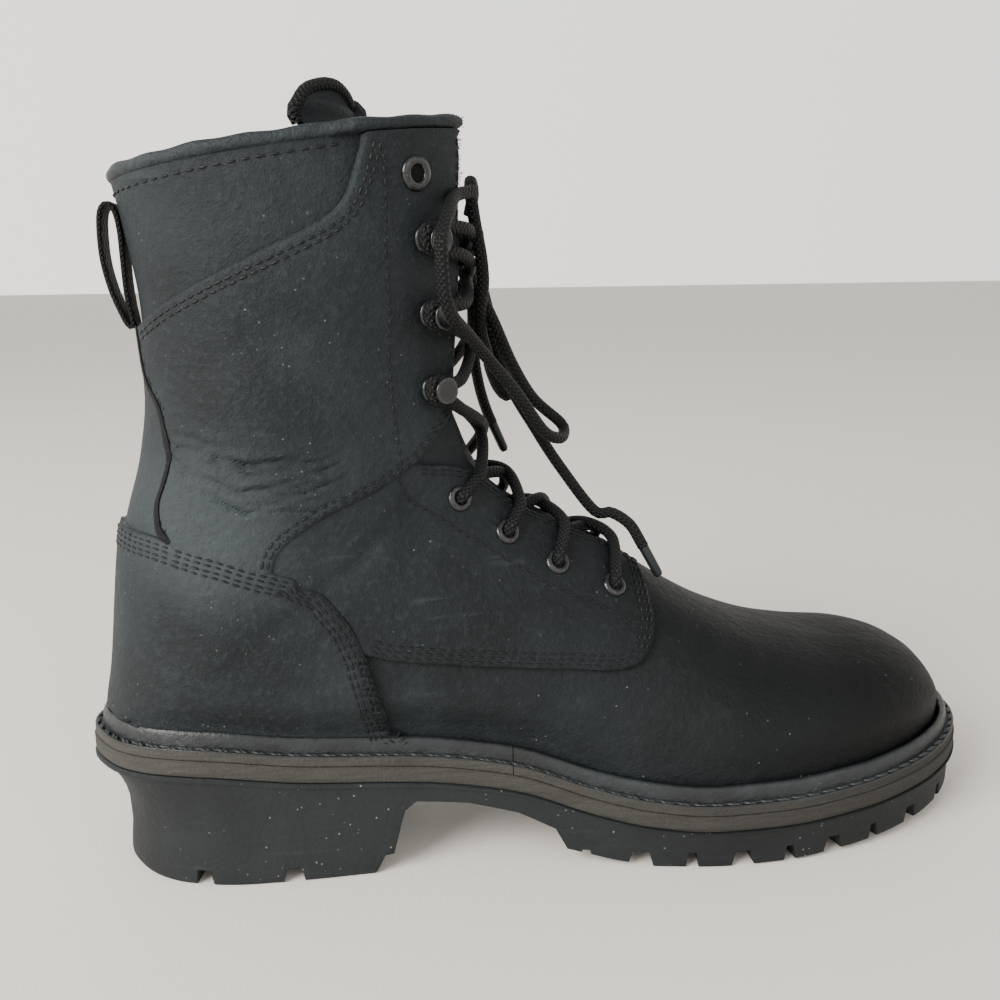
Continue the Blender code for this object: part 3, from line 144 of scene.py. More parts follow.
# Sole outline: share of the length, then the outer and inner half widths as shares of a named width.
OUTLINE = (
    (0.000, 0.000, 0.000, "heel"), (0.012, 0.168, 0.168, "heel"), (0.040, 0.325, 0.325, "heel"),
    (0.080, 0.425, 0.425, "heel"), (0.160, 0.497, 0.497, "heel"), (0.250, 0.510, 0.500, "heel"),
    (0.340, 0.510, 0.482, "heel"), (0.420, 0.360, 0.328, "ball"), (0.500, 0.407, 0.352, "ball"),
    (0.580, 0.469, 0.407, "ball"), (0.660, 0.512, 0.463, "ball"), (0.720, 0.520, 0.478, "ball"),
    (0.800, 0.491, 0.462, "ball"), (0.880, 0.415, 0.400, "ball"), (0.940, 0.306, 0.310, "ball"),
    (0.980, 0.171, 0.184, "ball"), (1.000, -0.026, 0.026, "ball"))

# Underside of the midsole: share of the length, share of the way from forefoot to heel height,
# and share of the toe spring.
SOLE_LINE = (
    (0.000, 1.00, 0.00), (0.060, 1.00, 0.00), (0.123, 0.98, 0.00), (0.217, 0.84, 0.00), (0.320, 0.73, 0.00),
    (0.380, 0.64, 0.00), (0.443, 0.50, 0.00), (0.522, 0.19, 0.00), (0.580, 0.05, 0.00), (0.630, 0.00, 0.00),
    (0.700, 0.00, 0.06), (0.800, 0.00, 0.27), (0.900, 0.00, 0.59), (1.000, 0.00, 1.00))

# Side of the outsole: share of its height, inset at the sides and extra inset at the back of the heel,
# as shares of the heel height.
FLARE = (
    (0.00, 0.056, 0.178), (0.05, 0.050, 0.172), (0.30, 0.048, 0.198), (0.55, 0.044, 0.195), (0.76, 0.034, 0.140),
    (0.90, 0.024, 0.060), (0.955, 0.022, 0.022), (0.962, 0.000, 0.000), (1.00, 0.000, 0.000))

# Hoops round the upper, from the toe to the collar. Top is the front or instep end of each hoop and
# foot its other end, on the feather line or up the back. Along are shares of the length, rise and
# climb shares of the height left above the sole, hug the share of the feather width that the hoop
# keeps, outer and inner its further half widths as shares of the collar width, ridge the shift of
# its top towards the inner side as a share of the ball width, seat where it is widest, crown how
# full it is above that, and tuck how round it is below.
HOOPS = (
    # at, top along, rise, foot along, climb, hug, outer, inner, ridge, seat, crown, tuck
    (0.0, 0.972, 0.000, 0.974, 0.000, 1.00, 0.000, 0.000, 0.026, 0.35, 2.2, 1.0),
    (1.0, 0.962, 0.048, 0.968, 0.000, 1.00, 0.000, 0.000, 0.028, 0.35, 2.3, 1.0),
    (2.0, 0.957, 0.091, 0.953, 0.000, 1.00, 0.000, 0.000, 0.032, 0.34, 2.3, 1.0),
    (3.0, 0.940, 0.133, 0.926, 0.000, 1.00, 0.002, 0.004, 0.040, 0.33, 2.3, 1.0),
    (4.0, 0.909, 0.163, 0.886, 0.000, 1.00, 0.006, 0.010, 0.046, 0.32, 2.3, 1.0),
    (5.0, 0.867, 0.182, 0.836, 0.000, 1.00, 0.012, 0.012, 0.052, 0.30, 2.25, 1.0),
    (6.0, 0.811, 0.195, 0.778, 0.000, 1.00, 0.012, 0.012, 0.056, 0.29, 2.2, 1.0),
    (7.0, 0.749, 0.219, 0.716, 0.000, 1.00, 0.012, 0.012, 0.052, 0.28, 2.1, 1.0),
    (8.0, 0.688, 0.256, 0.650, 0.000, 1.00, 0.012, 0.012, 0.046, 0.28, 2.0, 1.0),
    (9.0, 0.630, 0.304, 0.583, 0.000, 1.00, 0.006, 0.012, 0.040, 0.27, 1.95, 1.0),
    (10.0, 0.585, 0.346, 0.513, 0.000, 1.00, 0.018, 0.018, 0.034, 0.26, 1.9, 1.0),
    (11.0, 0.541, 0.381, 0.434, 0.000, 1.00, 0.054, 0.040, 0.028, 0.26, 1.9, 1.0),
    (12.0, 0.497, 0.408, 0.340, 0.000, 0.75, 0.167, 0.160, 0.020, 0.28, 1.9, 1.1),
    (13.0, 0.462, 0.433, 0.239, 0.000, 0.50, 0.250, 0.244, 0.012, 0.31, 1.95, 1.3),
    (14.0, 0.439, 0.467, 0.138, 0.000, 0.25, 0.339, 0.333, 0.006, 0.34, 2.0, 1.6),
    (15.0, 0.423, 0.513, 0.060, 0.000, 0.10, 0.393, 0.387, 0.000, 0.37, 2.0, 1.85),
    (16.0, 0.415, 0.565, 0.023, 0.000, 0.00, 0.415, 0.408, 0.000, 0.40, 2.1, 2.0),
    (17.0, 0.408, 0.623, 0.033, 0.096, 0.00, 0.415, 0.410, 0.000, 0.43, 2.1, 2.0),
    (18.0, 0.406, 0.691, 0.044, 0.229, 0.00, 0.417, 0.412, 0.000, 0.45, 2.1, 2.0),
    (19.0, 0.406, 0.759, 0.056, 0.363, 0.00, 0.428, 0.422, 0.000, 0.46, 2.1, 2.0),
    (20.0, 0.406, 0.822, 0.078, 0.487, 0.00, 0.445, 0.440, 0.000, 0.47, 2.1, 2.0),
    (21.0, 0.406, 0.881, 0.087, 0.600, 0.00, 0.464, 0.458, 0.000, 0.48, 2.1, 2.0),
    (22.0, 0.407, 0.935, 0.086, 0.724, 0.00, 0.482, 0.476, 0.000, 0.48, 2.1, 2.0),
    (23.0, 0.408, 0.973, 0.077, 0.848, 0.00, 0.494, 0.488, 0.000, 0.48, 2.1, 2.0),
    (24.0, 0.409, 1.000, 0.069, 0.920, 0.00, 0.500, 0.494, 0.000, 0.48, 2.1, 2.0),
)
THROAT = 10.0
HEEL_CORNER = 16.0
COLLAR = 24.0

# Half the gap between the facings along the throat, as shares of the collar width.
THROAT_GAP = (
    (10.0, 0.000), (10.4, 0.055), (11.0, 0.090), (12.0, 0.112), (13.0, 0.122), (14.0, 0.135), (15.0, 0.190),
    (16.0, 0.225), (17.0, 0.235), (19.0, 0.205), (21.5, 0.220), (24.0, 0.236))

WIDTHS = {"ball": BALL_WIDTH, "heel": HEEL_WIDTH}


def at_length(along):
    return (along - HEEL_REST) * LENGTH


def outline_widths():
    """Half width of the sole on each side, over an angle that runs evenly round its ends."""
    angle = [math.acos(1.0 - 2.0 * row[0]) for row in OUTLINE]
    outer = curve_through(angle, [row[1] * WIDTHS[row[3]] for row in OUTLINE])
    inner = curve_through(angle, [row[2] * WIDTHS[row[3]] for row in OUTLINE])
    return outer, inner


OUTER_HALF, INNER_HALF = outline_widths()
HEEL_SHARE, SPRING_SHARE = columns(SOLE_LINE)
FLARE_SIDE, FLARE_BACK = columns(FLARE)
THROAT_HALF, = columns(THROAT_GAP)
HOOP = columns(HOOPS)


def spring(along):
    return TOE_SPRING * SPRING_SHARE(along)


def sole_top(along):
    """Height of the outsole's top at a share of the length."""
    return FORE_HEIGHT + (HEEL_HEIGHT - FORE_HEIGHT) * HEEL_SHARE(along) + spring(along)


def feather(along):
    """Height at which the upper starts."""
    return sole_top(along) + MIDSOLE + 2.0 * GAP


def stations(count, extra=()):
    """Angles round one side of the sole at even distances, with some more put in."""
    fine = [math.pi * i / 400 for i in range(401)]
    walk = [0.0]
    for a, b in zip(fine, fine[1:]):
        dx = LENGTH * (math.cos(a) - math.cos(b)) / 2.0
        walk.append(walk[-1] + math.hypot(dx, OUTER_HALF(b) - OUTER_HALF(a)))
    place = curve_through(walk, fine)
    even = [place(walk[-1] * i / count) for i in range(count + 1)]
    return sorted(even + [math.acos(1.0 - 2.0 * along) for along in extra])


def outline(inset, angles, shift=0.0):
    """Closed plan outline, from the heel along the outer side to the toe and back, moved inwards."""
    points = []
    for angle in angles:
        points.append((at_length((1.0 - math.cos(angle)) / 2.0), -OUTER_HALF(angle)))
    for angle in reversed(angles[1:-1]):
        points.append((at_length((1.0 - math.cos(angle)) / 2.0), INNER_HALF(angle)))
    count = len(points)
    moved = []
    for i, (x, y) in enumerate(points):
        before, after = points[i - 1], points[(i + 1) % count]
        tx, ty = after[0] - before[0], after[1] - before[1]
        size = math.hypot(tx, ty)
        x -= ty / size * inset
        y += tx / size * inset
        back = 1.0 - ease(0.0, 0.24, x / LENGTH + HEEL_REST)
        moved.append((x + shift * back, y))
    return moved


def share_at(x):
    return min(max(x / LENGTH + HEEL_REST, 0.0), 1.0)


def feather_widths():
    """Half widths of the upper at its feather line, over the share of the length."""
    angles = [math.pi * i / 160 for i in range(161)]
    plan = outline(WELT_LEDGE + GAP, angles)
    outer = [(share_at(x), -y) for x, y in plan[:161]]
    inner = [(share_at(x), y) for x, y in plan[160:] + plan[:1]]
    inner.reverse()
    result = []
    for side in (outer, inner):
        xs, ys = [], []
        for x, y in side:
            if not xs or x > xs[-1] + 1e-6:
                xs.append(x)
                ys.append(y)
        result.append(curve_through(xs, ys))
    return result


FEATHER = dict(zip(BOTH, feather_widths()))


def beside_welt(x, y, z, side):
    """Half width that stays on the feather line as high as the welt stands."""
    along = share_at(x)
    stands = WELT + WELT_RIDGE
    free = ease(stands, 2.8 * stands, z - feather(along))
    return side * FEATHER[side](along) * (1.0 - free) + y * free


class Hoop:
    """One section of the upper's outer surface, in the plane through its two ends."""

    def __init__(self, at):
        (top_along, rise, foot_along, climb, hug, outer, inner, ridge, seat, crown, tuck) = [
            column(at) for column in HOOP]
        low = feather(top_along)
        base = feather(foot_along)
        self.top = (at_length(top_along), low + rise * (COLLAR_HEIGHT - low))
        self.foot = (at_length(foot_along), base + climb * (COLLAR_HEIGHT - base))
        self.ridge = ridge * BALL_WIDTH
        self.seat, self.crown, self.tuck = seat, crown, tuck
        self.ends = {LATERAL: 0.0, MEDIAL: 0.0}
        if at < HEEL_CORNER:
            self.ends = {side: FEATHER[side](foot_along) for side in FEATHER}
        self.wide = {
            LATERAL: self.ends[LATERAL] * hug + outer * COLLAR_WIDTH,
            MEDIAL: self.ends[MEDIAL] * hug + inner * COLLAR_WIDTH,
        }
        self.paths = {}

    def path(self, side):
        """Points down one side with the distance walked, from the top to the foot."""
        if side in self.paths:
            return self.paths[side]
        wide, end = self.wide[side], self.ends[side]
        points = []
        for i in range(49):
            turn = math.pi / 2.0 * i / 48
            share = self.seat + (1.0 - self.seat) * math.cos(turn) ** (2.0 / self.crown)
            reach = math.sin(turn) ** (2.0 / self.crown)
            points.append((share, self.ridge * (1.0 - reach) + side * wide * reach))
        for i in range(1, 41):
            turn = math.pi / 2.0 * i / 40
            share = self.seat * (1.0 - math.sin(turn))
            points.append((share, side * (end + (wide - end) * math.cos(turn) ** (2.0 / self.tuck))))
        placed = []
        for share, y in points:
            x = self.foot[0] + (self.top[0] - self.foot[0]) * share
            z = self.foot[1] + (self.top[1] - self.foot[1]) * share
            placed.append(Vector((x, beside_welt(x, y, z, side), z)))
        if end == 0.0:
            placed[-1].y = 0.0
        walk = [0.0]
        for a, b in zip(placed, placed[1:]):
            walk.append(walk[-1] + (b - a).length)
        self.paths[side] = (placed, walk)
        return self.paths[side]

    def length(self, side):
        return self.path(side)[1][-1]

    def point(self, side, distance):
        placed, walk = self.path(side)
        distance = min(max(distance, 0.0), walk[-1])
        i = min(bisect_right(walk, distance) - 1, len(walk) - 2)
        span = walk[i + 1] - walk[i]
        t = (distance - walk[i]) / span if span > 0.0 else 0.0
        return placed[i].lerp(placed[i + 1], t)


HOOP_CACHE = {}


def hoop(at):
    key = round(at, 5)
    if key not in HOOP_CACHE:
        HOOP_CACHE[key] = Hoop(key)
    return HOOP_CACHE[key]


def on_form(at, down, side):
    """Point of the upper's outer surface at a hoop and a share of its side."""
    ring = hoop(at)
    return ring.point(side, ring.length(side) * down)


def size_setting(name, description, default):
    return FloatProperty(name=name, description=description, default=default, unit="LENGTH")


def colour_setting(name, description, default):
    return FloatVectorProperty(name=name, description=description, default=default, subtype="COLOR")


class BootSettings(bpy.types.PropertyGroup):
    """Sizes and colours of the boot's finish."""

    stitch_pitch: size_setting("Stitch pitch", "Distance from one stitch to the next", 0.0033)
    stitch_length: size_setting("Stitch length", "Length of thread that shows", 0.0026)
    stitch_radius: size_setting("Thread radius", "Half the thread's thickness", 0.00037)
    welt_pitch: size_setting("Welt stitch pitch", "Distance between the welt's stitches", 0.0056)
    welt_radius: size_setting("Welt thread radius", "Half the welt thread's thickness", 0.00062)
    braid_turns: IntProperty(
        name="Braid strands", description="Strands counted round the lace", default=6, min=2)
    braid_pitch: size_setting("Braid pitch", "Length of one strand's crossing on the lace", 0.0019)
    crease_depth: FloatProperty(
        name="Crease depth", description="Depth of the leather's creases, as a share", default=1.0, min=0.0)
    fray_length: size_setting("Fray length", "Length of the loose fibres at raw ends", 0.0020)
    leather_colour: colour_setting("Leather", "Nubuck leather", (0.0125, 0.0160, 0.0182))
    worn_colour: colour_setting("Worn leather", "Leather where it is rubbed", (0.028, 0.034, 0.037))
    dust_colour: colour_setting("Dust", "Dust on leather and rubber", (0.21, 0.22, 0.21))
    raw_colour: colour_setting("Raw edge", "Cut edge of the leather", (0.0030, 0.0036, 0.0046))
    lining_colour: colour_setting("Lining", "Inside of the shaft", (0.020, 0.021, 0.021))
    midsole_colour: colour_setting("Midsole edge", "Worn leather edge over the tread", (0.044, 0.042, 0.038))
    rubber_colour: colour_setting("Rubber", "Outsole", (0.0115, 0.0142, 0.0155))
    lace_colour: colour_setting("Lace", "Braided lace", (0.0026, 0.0031, 0.0038))
    thread_colour: colour_setting("Thread", "Seam thread", (0.0060, 0.0070, 0.0080))
    welt_thread_colour: colour_setting("Welt thread", "Waxed thread in the welt", (0.030, 0.032, 0.033))
    enamel_colour: colour_setting("Enamel", "Eyelets and hooks", (0.0060, 0.0070, 0.0080))
    floor_colour: colour_setting("Floor", "Pale floor", (0.84, 0.80, 0.75))


def settings():
    return bpy.context.scene.work_boot


# Materials


def feed(tree, socket, value):
    """Links a socket to what another node gives, or sets it to a plain value."""
    if isinstance(value, Value):
        value = value.socket
    if isinstance(value, bpy.types.NodeSocket):
        tree.links.new(value, socket)
    else:
        socket.default_value = value


def add_node(tree, kind, choices, values):
    made = tree.nodes.new(kind)
    for name, choice in choices.items():
        setattr(made, name, choice)
    for name, value in values.items():
        feed(tree, made.inputs[name], value)
    return made


class Value:
    """A number from the node tree, on which arithmetic adds Math nodes."""

    def __init__(self, finish, socket):
        self.finish = finish
        self.socket = socket

    def math(self, operation, first, second=0.0):
        node = self.finish.node("ShaderNodeMath", {"operation": operation}, {0: first, 1: second})
        return Value(self.finish, node.outputs[0])

    def __add__(self, other):
        return self.math("ADD", self, other)

    def __radd__(self, other):
        return self.math("ADD", other, self)

    def __sub__(self, other):
        return self.math("SUBTRACT", self, other)

    def __rsub__(self, other):
        return self.math("SUBTRACT", other, self)

    def __mul__(self, other):
        return self.math("MULTIPLY", self, other)

    def __rmul__(self, other):
        return self.math("MULTIPLY", other, self)

    def sine(self):
        return self.math("SINE", self)

    def size(self):
        return self.math("ABSOLUTE", self)

    def part(self):
        return self.math("FRACT", self)

    def between(self, low, high):
        """Zero below one number, one above the other and smooth in between."""
        node = self.finish.node(
            "ShaderNodeMapRange", {"interpolation_type": "SMOOTHSTEP"},
            {"Value": self, "From Min": low, "From Max": high})
        return Value(self.finish, node.outputs["Result"])


class Finish:
    """One material and the nodes that feed its shader."""

    def __init__(self, name, roughness, metallic=0.0):
        self.material = bpy.data.materials.new(name)
        self.material.use_nodes = True
        self.tree = self.material.node_tree
        self.shader = self.tree.nodes["Principled BSDF"]
        self.shader.inputs["Roughness"].default_value = roughness
        self.shader.inputs["Metallic"].default_value = metallic
        self.shader.inputs["Specular IOR Level"].default_value = 0.25
        self.place = self.node("ShaderNodeTexCoord", {}, {}).outputs["Object"]

    def node(self, kind, choices, values):
        return add_node(self.tree, kind, choices, values)

    def feed(self, socket, value):
        feed(self.tree, socket, value)

    def noise(self, scale, detail=3.0, rough=0.55, place=None):
        made = self.node("ShaderNodeTexNoise", {}, {
            "Vector": place or self.place, "Scale": scale, "Detail": detail, "Roughness": rough})
        return Value(self, made.outputs["Fac"])

    def cells(self, scale, feature="F1", place=None):
        made = self.node("ShaderNodeTexVoronoi", {"feature": feature}, {
            "Vector": place or self.place, "Scale": scale})
        return Value(self, made.outputs["Distance"])

    def stretched(self, sizes, turn=(0.0, 0.0, 0.0)):
        made = self.node("ShaderNodeMapping", {}, {"Vector": self.place, "Scale": sizes, "Rotation": turn})
        return made.outputs["Vector"]

    def along(self, name):
        """The two parts of a UV map, as numbers."""
        uv = self.node("ShaderNodeUVMap", {"uv_map": name}, {})
        return self.axis(uv.outputs["UV"], "X"), self.axis(uv.outputs["UV"], "Y")

    def axis(self, vector, letter):
        """One coordinate of a vector, as a number."""
        split = self.node("ShaderNodeSeparateXYZ", {}, {"Vector": vector})
        return Value(self, split.outputs[letter])

    def height(self):
        return self.axis(self.place, "Z")

    def along_foot(self):
        """Distance along the boot from its heel towards its toe."""
        return self.axis(self.place, "X")

    def mix(self, share, first, second):
        made = self.node("ShaderNodeMix", {"data_type": "RGBA"}, {})
        self.feed(made.inputs["Factor"], share)
        for socket, value in ((made.inputs[6], first), (made.inputs[7], second)):
            self.feed(socket, value if isinstance(value, bpy.types.NodeSocket) else (*value, 1.0))
        return made.outputs[2]

    def relief(self, *layers):
        """Bump nodes one after another, each a height with its distance in metres."""
        normal = None
        for height, distance in layers:
            values = {"Height": height, "Distance": distance, "Strength": 1.0}
            if normal is not None:
                values["Normal"] = normal
            normal = self.node("ShaderNodeBump", {}, values).outputs["Normal"]
        self.feed(self.shader.inputs["Normal"], normal)

    def finish(self, colour, **others):
        if isinstance(colour, bpy.types.NodeSocket):
            self.feed(self.shader.inputs["Base Color"], colour)
        else:
            self.shader.inputs["Base Color"].default_value = (*colour, 1.0)
        for name, value in others.items():
            self.feed(self.shader.inputs[name.replace("_", " ")], value)
        return self.material


def shade(colour, share):
    return tuple(c * share for c in colour)


def nubuck(name, colour, worn, dust=1.0, grain=1.0, roughness=0.60, rubbed_at=None):
    """Fine grained leather with cloudy tone, rubbed places, scuffs and dust, and darker towards the toe, partly with
    painted shade.
    """
    look = settings()
    made = Finish(name, roughness)
    made.shader.inputs["Specular IOR Level"].default_value = 0.16
    cloud = made.noise(16.0, 4.0, 0.55)
    patch = made.noise(60.0, 5.0, 0.62)
    nap = made.noise(430.0, 4.0, 0.68)
    pores = made.noise(1500.0, 2.0, 0.6)
    tone = made.mix(cloud.between(0.30, 0.70), shade(colour, 0.62), shade(colour, 1.40))
    rubbed = patch.between(0.50, 0.78) * cloud.between(0.42, 0.66)
    tone = made.mix(rubbed * (0.8 * worn), tone, tuple(look.worn_colour))
    if rubbed_at is not None:
        spot, reach = rubbed_at
        flat = made.stretched((1.0, 0.0, 1.0))
        away = made.node("ShaderNodeVectorMath", {"operation": "DISTANCE"}, {0: flat, 1: spot})
        near = 1.0 - Value(made, away.outputs["Value"]).between(reach * 0.25, reach)
        tone = made.mix(near * (0.35 + nap * 0.75), tone, shade(look.worn_colour, 1.5))
    tone = made.mix(nap.between(0.46, 0.80) * 0.45, tone, shade(colour, 2.6))
    streaks = made.noise(30.0, 3.0, 0.7, made.stretched((0.4, 0.4, 6.0), (0.3, 0.5, 0.2)))
    scuffs = streaks.between(0.62, 0.70) * patch.between(0.48, 0.60)
    tone = made.mix(scuffs * (0.40 * worn), tone, shade(look.worn_colour, 1.4))
    # Darker from the heel towards the toe: partly the leather's own tone and wear, partly painted shade.
    heel_wear_and_toe_shade = 1.0 - made.along_foot().between(0.00, 0.24)
    tone = made.mix(heel_wear_and_toe_shade * 0.92 + 0.08, shade(colour, 0.10), tone)
    specks = 1.0 - made.cells(300.0).between(0.060, 0.110)
    drift = made.noise(38.0, 3.0, 0.6).between(0.47, 0.62)
    tone = made.mix(specks * drift * (0.45 * dust), tone, tuple(look.dust_colour))
    made.relief((patch, 0.0013 * grain), (nap, 0.00060 * grain), (pores, 0.00022 * grain))
    rough = roughness + (cloud - 0.5) * 0.20 + (nap - 0.5) * 0.20
    return made.finish(tone, Roughness=rough)


def cut_edge():
    """Rounded, rubbed edge of a panel, lighter than its face."""
    look = settings()
    made = Finish("cut_edge", 0.52)
    fine = made.noise(420.0, 4.0, 0.65)
    patch = made.noise(70.0, 3.0)
    tone = made.mix(fine.between(0.35, 0.75), shade(look.leather_colour, 1.0), shade(look.worn_colour, 1.5))
    tone = made.mix(patch.between(0.45, 0.65) * 0.6, tone, shade(look.leather_colour, 0.9))
    made.relief((fine, 0.0004))
    return made.finish(tone)


def raw_edge():
    """Cut edge of thick leather, dark and fibrous."""
    look = settings()
    made = Finish("raw_edge", 0.85)
    fibre = made.noise(900.0, 4.0, 0.7)
    tone = made.mix(fibre.between(0.48, 0.75), tuple(look.raw_colour), shade(look.raw_colour, 3.5))
    made.relief((fibre, 0.0006))
    return made.finish(tone)


def lining_cloth():
    look = settings()
    made = Finish("lining", 0.82)
    weave = made.noise(700.0, 2.0, 0.6)
    cloud = made.noise(25.0, 3.0)
    tone = made.mix(cloud, shade(look.lining_colour, 0.7), shade(look.lining_colour, 1.4))
    made.relief((weave, 0.0003))
    return made.finish(tone)


def insole_cloth():
    look = settings()
    made = Finish("insole_cloth", 0.88)
    rows = made.stretched((2600.0, 2600.0, 0.0))
    weave = made.axis(rows, "X").sine() * made.axis(rows, "Y").sine()
    cloud = made.noise(40.0, 3.0)
    tone = made.mix(cloud, shade(look.lining_colour, 0.9), shade(look.lining_colour, 2.0))
    made.relief((weave, 0.0002))
    return made.finish(tone)


def midsole_edge():
    """Layered leather edge, scratched along its length, with dust in its pores."""
    look = settings()
    made = Finish("midsole_edge", 0.78)
    made.shader.inputs["Specular IOR Level"].default_value = 0.3
    strata = made.noise(60.0, 6.0, 0.72, made.stretched((0.9, 0.9, 12.0)))
    pits = made.noise(800.0, 3.0, 0.7)
    patch = made.noise(34.0, 4.0, 0.6)
    tone = made.mix(strata.between(0.30, 0.72), shade(look.midsole_colour, 0.72), shade(look.midsole_colour, 1.12))
    tone = made.mix(pits.between(0.54, 0.74) * 0.5, tone, shade(look.midsole_colour, 1.9))
    tone = made.mix(patch.between(0.58, 0.75) * 0.45, tone, shade(look.midsole_colour, 0.45))
    # Darker towards the toe: partly the edge's own tone, partly painted shade.
    tone = made.mix(made.along_foot().between(0.04, 0.24) * 0.6, tone, shade(look.midsole_colour, 0.35))
    made.relief((strata, 0.0006), (pits, 0.0004))
    return made.finish(tone, Roughness=0.70 + pits * 0.22)


def welt_leather():
    """Waxed black ridge with a rubbed crown."""
    look = settings()
    made = Finish("welt_leather", 0.30)
    made.shader.inputs["Specular IOR Level"].default_value = 0.4
    patch = made.noise(60.0, 5.0, 0.65)
    fine = made.noise(650.0, 3.0, 0.6)
    tone = made.mix(patch.between(0.3, 0.7), shade(look.leather_colour, 0.45), shade(look.leather_colour, 1.2))
    tone = made.mix(patch.between(0.60, 0.75) * 0.4, tone, tuple(look.worn_colour))
    specks = 1.0 - made.cells(420.0).between(0.05, 0.10)
    tone = made.mix(specks * patch.between(0.5, 0.7) * 0.6, tone, tuple(look.dust_colour))
    made.relief((patch, 0.0007), (fine, 0.00025))
    return made.finish(tone, Roughness=0.30 + fine * 0.22)


def tread_rubber():
    """Moulded rubber, matte, with grey dust and scrapes low down."""
    look = settings()
    made = Finish("tread_rubber", 0.66)
    cloud = made.noise(22.0, 5.0, 0.6)
    fine = made.noise(520.0, 3.0, 0.65)
    scrape = made.noise(60.0, 5.0, 0.75, made.stretched((0.5, 0.5, 5.0)))
    low = 1.0 - made.height().between(0.002, 0.030)
    tone = made.mix(cloud.between(0.3, 0.7), shade(look.rubber_colour, 0.75), shade(look.rubber_colour, 1.25))
    worn = scrape.between(0.54, 0.74) * (0.25 + low * 0.75)
    tone = made.mix(worn * 0.40, tone, shade(look.rubber_colour, 3.0))
    # Darker towards the toe: partly the rubber's own tone, partly painted shade.
    tone = made.mix(made.along_foot().between(0.02, 0.24) * 0.6, tone, shade(look.rubber_colour, 0.35))
    specks = 1.0 - made.cells(310.0).between(0.06, 0.12)
    tone = made.mix(specks * cloud.between(0.44, 0.58) * 0.8, tone, tuple(look.dust_colour))
    made.relief((cloud, 0.0010), (fine, 0.00040))
    return made.finish(tone, Roughness=0.58 + fine * 0.2)


def braid(name, colour, pitch, strands, roughness=0.6):
    """Round braid: strands that cross over one another both ways along a cord."""
    made = Finish(name, roughness)
    far, turn = made.along("cord")
    step = far * (math.pi / pitch)
    lean = turn * (math.pi * strands)
    left = (step + lean).sine().size()
    right = (step - lean).sine().size()
    bumps = left * right
    thread = ((step * 6.0 + lean * 3.0).sine() * 0.5 + 0.5)
    fuzz = made.noise(1500.0, 3.0, 0.7)
    # Colour follows the strands' height, darker in the gaps between them: painted shade.
    tone = made.mix(bumps.between(0.05, 0.65), shade(colour, 0.30), shade(colour, 1.5))
    tone = made.mix(fuzz.between(0.55, 0.8) * 0.4, tone, shade(colour, 4.0))
    made.relief((bumps, 0.00055), (thread, 0.00008), (fuzz, 0.0001))
    return made.finish(tone)


def thread(name, colour):
    made = Finish(name, 0.42)
    twist = made.noise(1400.0, 2.0, 0.6)
    tone = made.mix(twist, shade(colour, 0.6), shade(colour, 1.6))
    made.relief((twist, 0.0001))
    return made.finish(tone)


def enamel():
    """Glossy black enamel, chipped to bright metal in a ring of dots on the eyelets; on the hooks a whole bright
    band round the rim is painted highlight.
    """
    look = settings()
    made = Finish("enamel", 0.22)
    made.shader.inputs["Specular IOR Level"].default_value = 0.55
    turn, out = made.along("round")
    dots = (turn * 9.0).part()
    spot = (dots - 0.5).size()
    chip = made.noise(900.0, 3.0, 0.7)
    # Band at four fifths of the radius: chipped dots on the eyelets, a whole ring of painted highlight on the hooks.
    ring = 1.0 - (out - 0.80).size().between(0.04, 0.10)
    bright = (1.0 - spot.between(0.10, 0.20)) * ring * chip.between(0.40, 0.52)
    flecks = chip.between(0.66, 0.72)
    chips_and_hook_highlight = (bright + flecks * 0.5).between(0.2, 0.8)
    tone = made.mix(chips_and_hook_highlight, tuple(look.enamel_colour), (0.075, 0.078, 0.080))
    made.relief((chip, 0.00012))
    return made.finish(tone, Roughness=0.20 + chips_and_hook_highlight * 0.16, Metallic=chips_and_hook_highlight)


def webbing():
    look = settings()
    made = Finish("webbing", 0.72)
    rows = made.stretched((0.0, 1700.0, 1500.0))
    weave = made.axis(rows, "Y").sine() * made.axis(rows, "Z").sine()
    cloud = made.noise(60.0, 3.0)
    # Colour follows the weave's height, darker in its hollows: painted shade.
    tone = made.mix(weave.between(-0.6, 0.8), shade(look.lace_colour, 0.55), shade(look.lace_colour, 1.7))
    tone = made.mix(cloud.between(0.55, 0.8) * 0.3, tone, tuple(look.worn_colour))
    made.relief((weave, 0.0003))
    return made.finish(tone)


def plastic_tip():
    look = settings()
    made = Finish("plastic_tip", 0.25)
    cloud = made.noise(300.0, 3.0)
    tone = made.mix(cloud, shade(look.enamel_colour, 1.2), shade(look.enamel_colour, 3.0))
    return made.finish(tone)


def painted_floor():
    look = settings()
    made = Finish("floor", 0.55)
    cloud = made.noise(3.0, 3.0)
    fine = made.noise(900.0, 2.0)
    tone = made.mix(cloud, shade(look.floor_colour, 0.97), shade(look.floor_colour, 1.03))
    made.relief((fine, 0.0001))
    return made.finish(tone)


MATERIALS = {}


